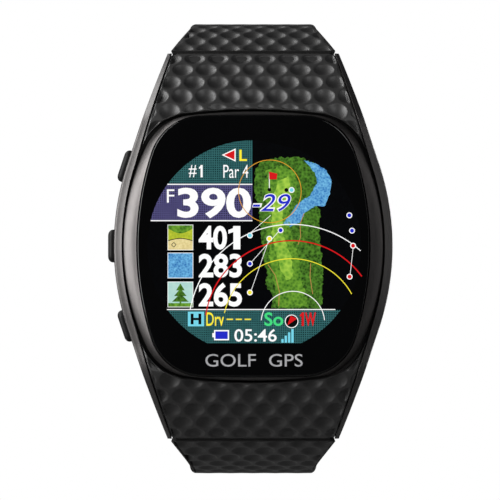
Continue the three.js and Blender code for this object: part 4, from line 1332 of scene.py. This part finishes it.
back_finish, field, shader = surface("back_plastic", Metallic=0.0)
place = field.node("ShaderNodeTexCoord", output="Object")
pebble = field.node("ShaderNodeTexVoronoi", links={"Vector": place, "Scale": 2600.0})
cloud = field.node("ShaderNodeTexNoise", links={"Vector": place, "Scale": 220.0, "Detail": 4.0})
drive(shader, "Base Color", cloud.mixed((0.018, 0.018, 0.019), (0.032, 0.032, 0.034)))
drive(shader, "Roughness", 0.42 + pebble * 0.15 + cloud * 0.08)
bump(field, shader, pebble, 0.25, 0.03 * mm)

back_front, back_rear = 11.1, 12.9
rings = [flat_ring(cushion(**BACK, fine=20), back_front)]
for i in range(9):
    turn = math.radians(90 * i / 8)
    rings.append(flat_ring(cushion(**inset(BACK, 0.05 + 0.7 * (1 - math.cos(turn))), fine=20),
                           back_rear - 0.7 + 0.7 * math.sin(turn)))
rings.append(flat_ring(cushion(**inset(BACK, 3.1), fine=20), back_rear))
rings.append(flat_ring(cushion(**inset(BACK, 3.2), fine=20), back_rear - 0.16))
rings.append(flat_ring(cushion(**inset(BACK, 3.5), fine=20), back_rear - 0.16))
rings.append(flat_ring(cushion(**inset(BACK, 3.6), fine=20), back_rear))
lid = loft("case_back_lid", rings, back_finish)


def pit(x, z, radius, low_depth, high_depth):
    return loft("cutter", [[spot(x + radius * math.cos(a), depth, z + radius * math.sin(a))
                            for a in np.linspace(0, math.tau, 32, endpoint=False)]
                           for depth in (low_depth, high_depth)], None)


screw_x, screw_z = 14.6, 17.0
contact_z = -15.8
for x in (-screw_x, screw_x):
    for z in (-screw_z, screw_z):
        carve(lid, pit(x, z, 1.25, 12.0, 14))
        carve(lid, pit(x, z, 0.8, 10, 12.5))
for x in (-4.5, -1.5, 1.5, 4.5):
    carve(lid, pit(x, contact_z, 0.9, 10, 14))
lid.data.shade_smooth()
lid.data.set_sharp_from_angle(angle=math.radians(35))
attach(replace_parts(lid, "case_back"), "case")


def screw_piece(name, node, centre, axis, radius, thick, slot_turn):
    """Pan head with a rounded rim and a cross recess, its face towards the given axis."""
    axis = Vector(axis).normalized()
    side = Vector((1, 0, 0))
    up = axis.cross(side)
    rings = []
    for r, h in ((radius, 0), (radius, thick * 0.55), (radius * 0.95, thick * 0.8),
                 (radius * 0.82, thick * 0.95), (radius * 0.6, thick)):
        rings.append([centre + (side * r * math.cos(a) + up * r * math.sin(a) + axis * h) * mm
                      for a in np.linspace(0, math.tau, 32, endpoint=False)])
    head = loft(name, rings, steel, smooth=50)
    for quarter in (0, math.pi / 2):
        turn = slot_turn + quarter
        along = side * math.cos(turn) + up * math.sin(turn)
        beside = axis.cross(along)
        half_long, half_wide = radius * 0.55, radius * 0.13
        bottom = [centre + (along * a * half_long + beside * b * half_wide + axis * thick * 0.45) * mm
                  for a, b in ((-1, -1), (1, -1), (1, 1), (-1, 1))]
        top = [p + axis * thick * 2 * mm for p in bottom]
        carve(head, loft("cutter", [bottom, top], None))
    head.data.shade_smooth()
    head.data.set_sharp_from_angle(angle=math.radians(40))
    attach(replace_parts(head, node), "case")


corners = ((-1, 1), (1, 1), (1, -1), (-1, -1))
for i, (sx, sz) in enumerate(corners):
    screw_piece(f"back_screw_head_{i + 1}", f"case_back_screw_{i + 1}", spot(sx * screw_x, 12.1, sz * screw_z),
                (0, 1, 0), 1.1, 0.7, 0.3 + i * 0.7)
for end, word in ((1, "upper"), (-1, "lower")):
    tilt = math.atan2(3.2, 3.6)
    for side, number in ((-1, 1), (1, 2)):
        axis = Vector((0, math.cos(tilt), -end * math.sin(tilt)))
        centre = spot(side * end * 8, 11.5, end * 21.96) + axis * 0.76 * mm
        screw_piece(f"{word}_head_screw_{number}", f"{word}_end_plate_screw_{number}", centre, axis, 1.2, 0.62,
                    0.4 + number)

gold, field, shader = surface("contact_gold", Metallic=1.0)
place = field.node("ShaderNodeTexCoord", output="Object")
tarnish = field.node("ShaderNodeTexNoise", links={"Vector": place, "Scale": 1500.0, "Detail": 4.0})
drive(shader, "Base Color", tarnish.mixed((0.72, 0.47, 0.14), (0.86, 0.64, 0.26)))
drive(shader, "Roughness", tarnish * 0.2 + 0.16)
bump(field, shader, tarnish, 0.1, 0.01 * mm)
for i, x in enumerate((-4.5, -1.5, 1.5, 4.5)):
    rings = [[spot(x + r * math.cos(a), depth, contact_z + r * math.sin(a))
              for a in np.linspace(0, math.tau, 28, endpoint=False)]
             for r, depth in ((0.7, 10.4), (0.7, 12.65), (0.64, 12.78), (0.45, 12.84), (0.2, 12.85))]
    contact = loft(f"contact_pin_{i + 1}", rings, gold, smooth=50)
    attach(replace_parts(contact, f"charging_contact_{i + 1}"), "case")


# ---- Inner parts ----
# Display, frame, boards, battery, aerial, motor, seals, switches and bars: closed in by the case,
# each with its own moulded, plated or printed finish and slightly broken edges.


def inner_finish(name, tone, rough, metal, scale):
    """Plain part's finish: a cloudy tone and a fine grain."""
    material, field, shader = surface(name, Metallic=metal)
    place = field.node("ShaderNodeTexCoord", output="Object")
    cloudy = field.node("ShaderNodeTexNoise", links={"Vector": place, "Scale": scale, "Detail": 5.0})
    dark = tuple(c * 0.75 for c in tone)
    drive(shader, "Base Color", cloudy.mixed(dark, tone))
    drive(shader, "Roughness", cloudy * 0.2 + rough - 0.1)
    bump(field, shader, cloudy, 0.15, 0.02 * mm)
    return material


seal_rubber = inner_finish("seal_rubber", (0.02, 0.02, 0.02), 0.7, 0.0, 3000.0)
inner_plastic = inner_finish("inner_plastic", (0.02, 0.02, 0.022), 0.5, 0.0, 2500.0)
board_green = inner_finish("board_green", (0.01, 0.1, 0.04), 0.45, 0.0, 1200.0)
film = inner_finish("cable_film", (0.45, 0.2, 0.04), 0.4, 0.0, 900.0)
can = inner_finish("battery_can", (0.5, 0.5, 0.52), 0.35, 0.8, 700.0)
ceramic = inner_finish("antenna_ceramic", (0.65, 0.6, 0.5), 0.6, 0.0, 2000.0)
panel = inner_finish("panel_glass", (0.01, 0.015, 0.02), 0.15, 0.0, 400.0)
dressing = {
    "display_panel": panel, "display_frame": inner_plastic, "display_cable": film, "main_board": board_green,
    "battery": can, "gps_antenna": ceramic, "vibration_motor": steel, "lens_gasket": seal_rubber,
    "case_back_gasket": seal_rubber, "contact_block": inner_plastic, "buckle_bar": steel,
    "upper_spring_bar": steel, "lower_spring_bar": steel,
}
for word in button_tilts:
    dressing[f"{word}_button_gasket"] = seal_rubber
    dressing[f"{word}_switch"] = inner_plastic
for name, material in dressing.items():
    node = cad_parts[name]
    node.data.materials.clear()
    node.data.materials.append(material)
    weld = node.modifiers.new("weld", "WELD")
    weld.merge_threshold = 0.001 * mm
    edges = node.modifiers.new("edges", "BEVEL")
    edges.width = 0.06 * mm
    edges.segments = 2
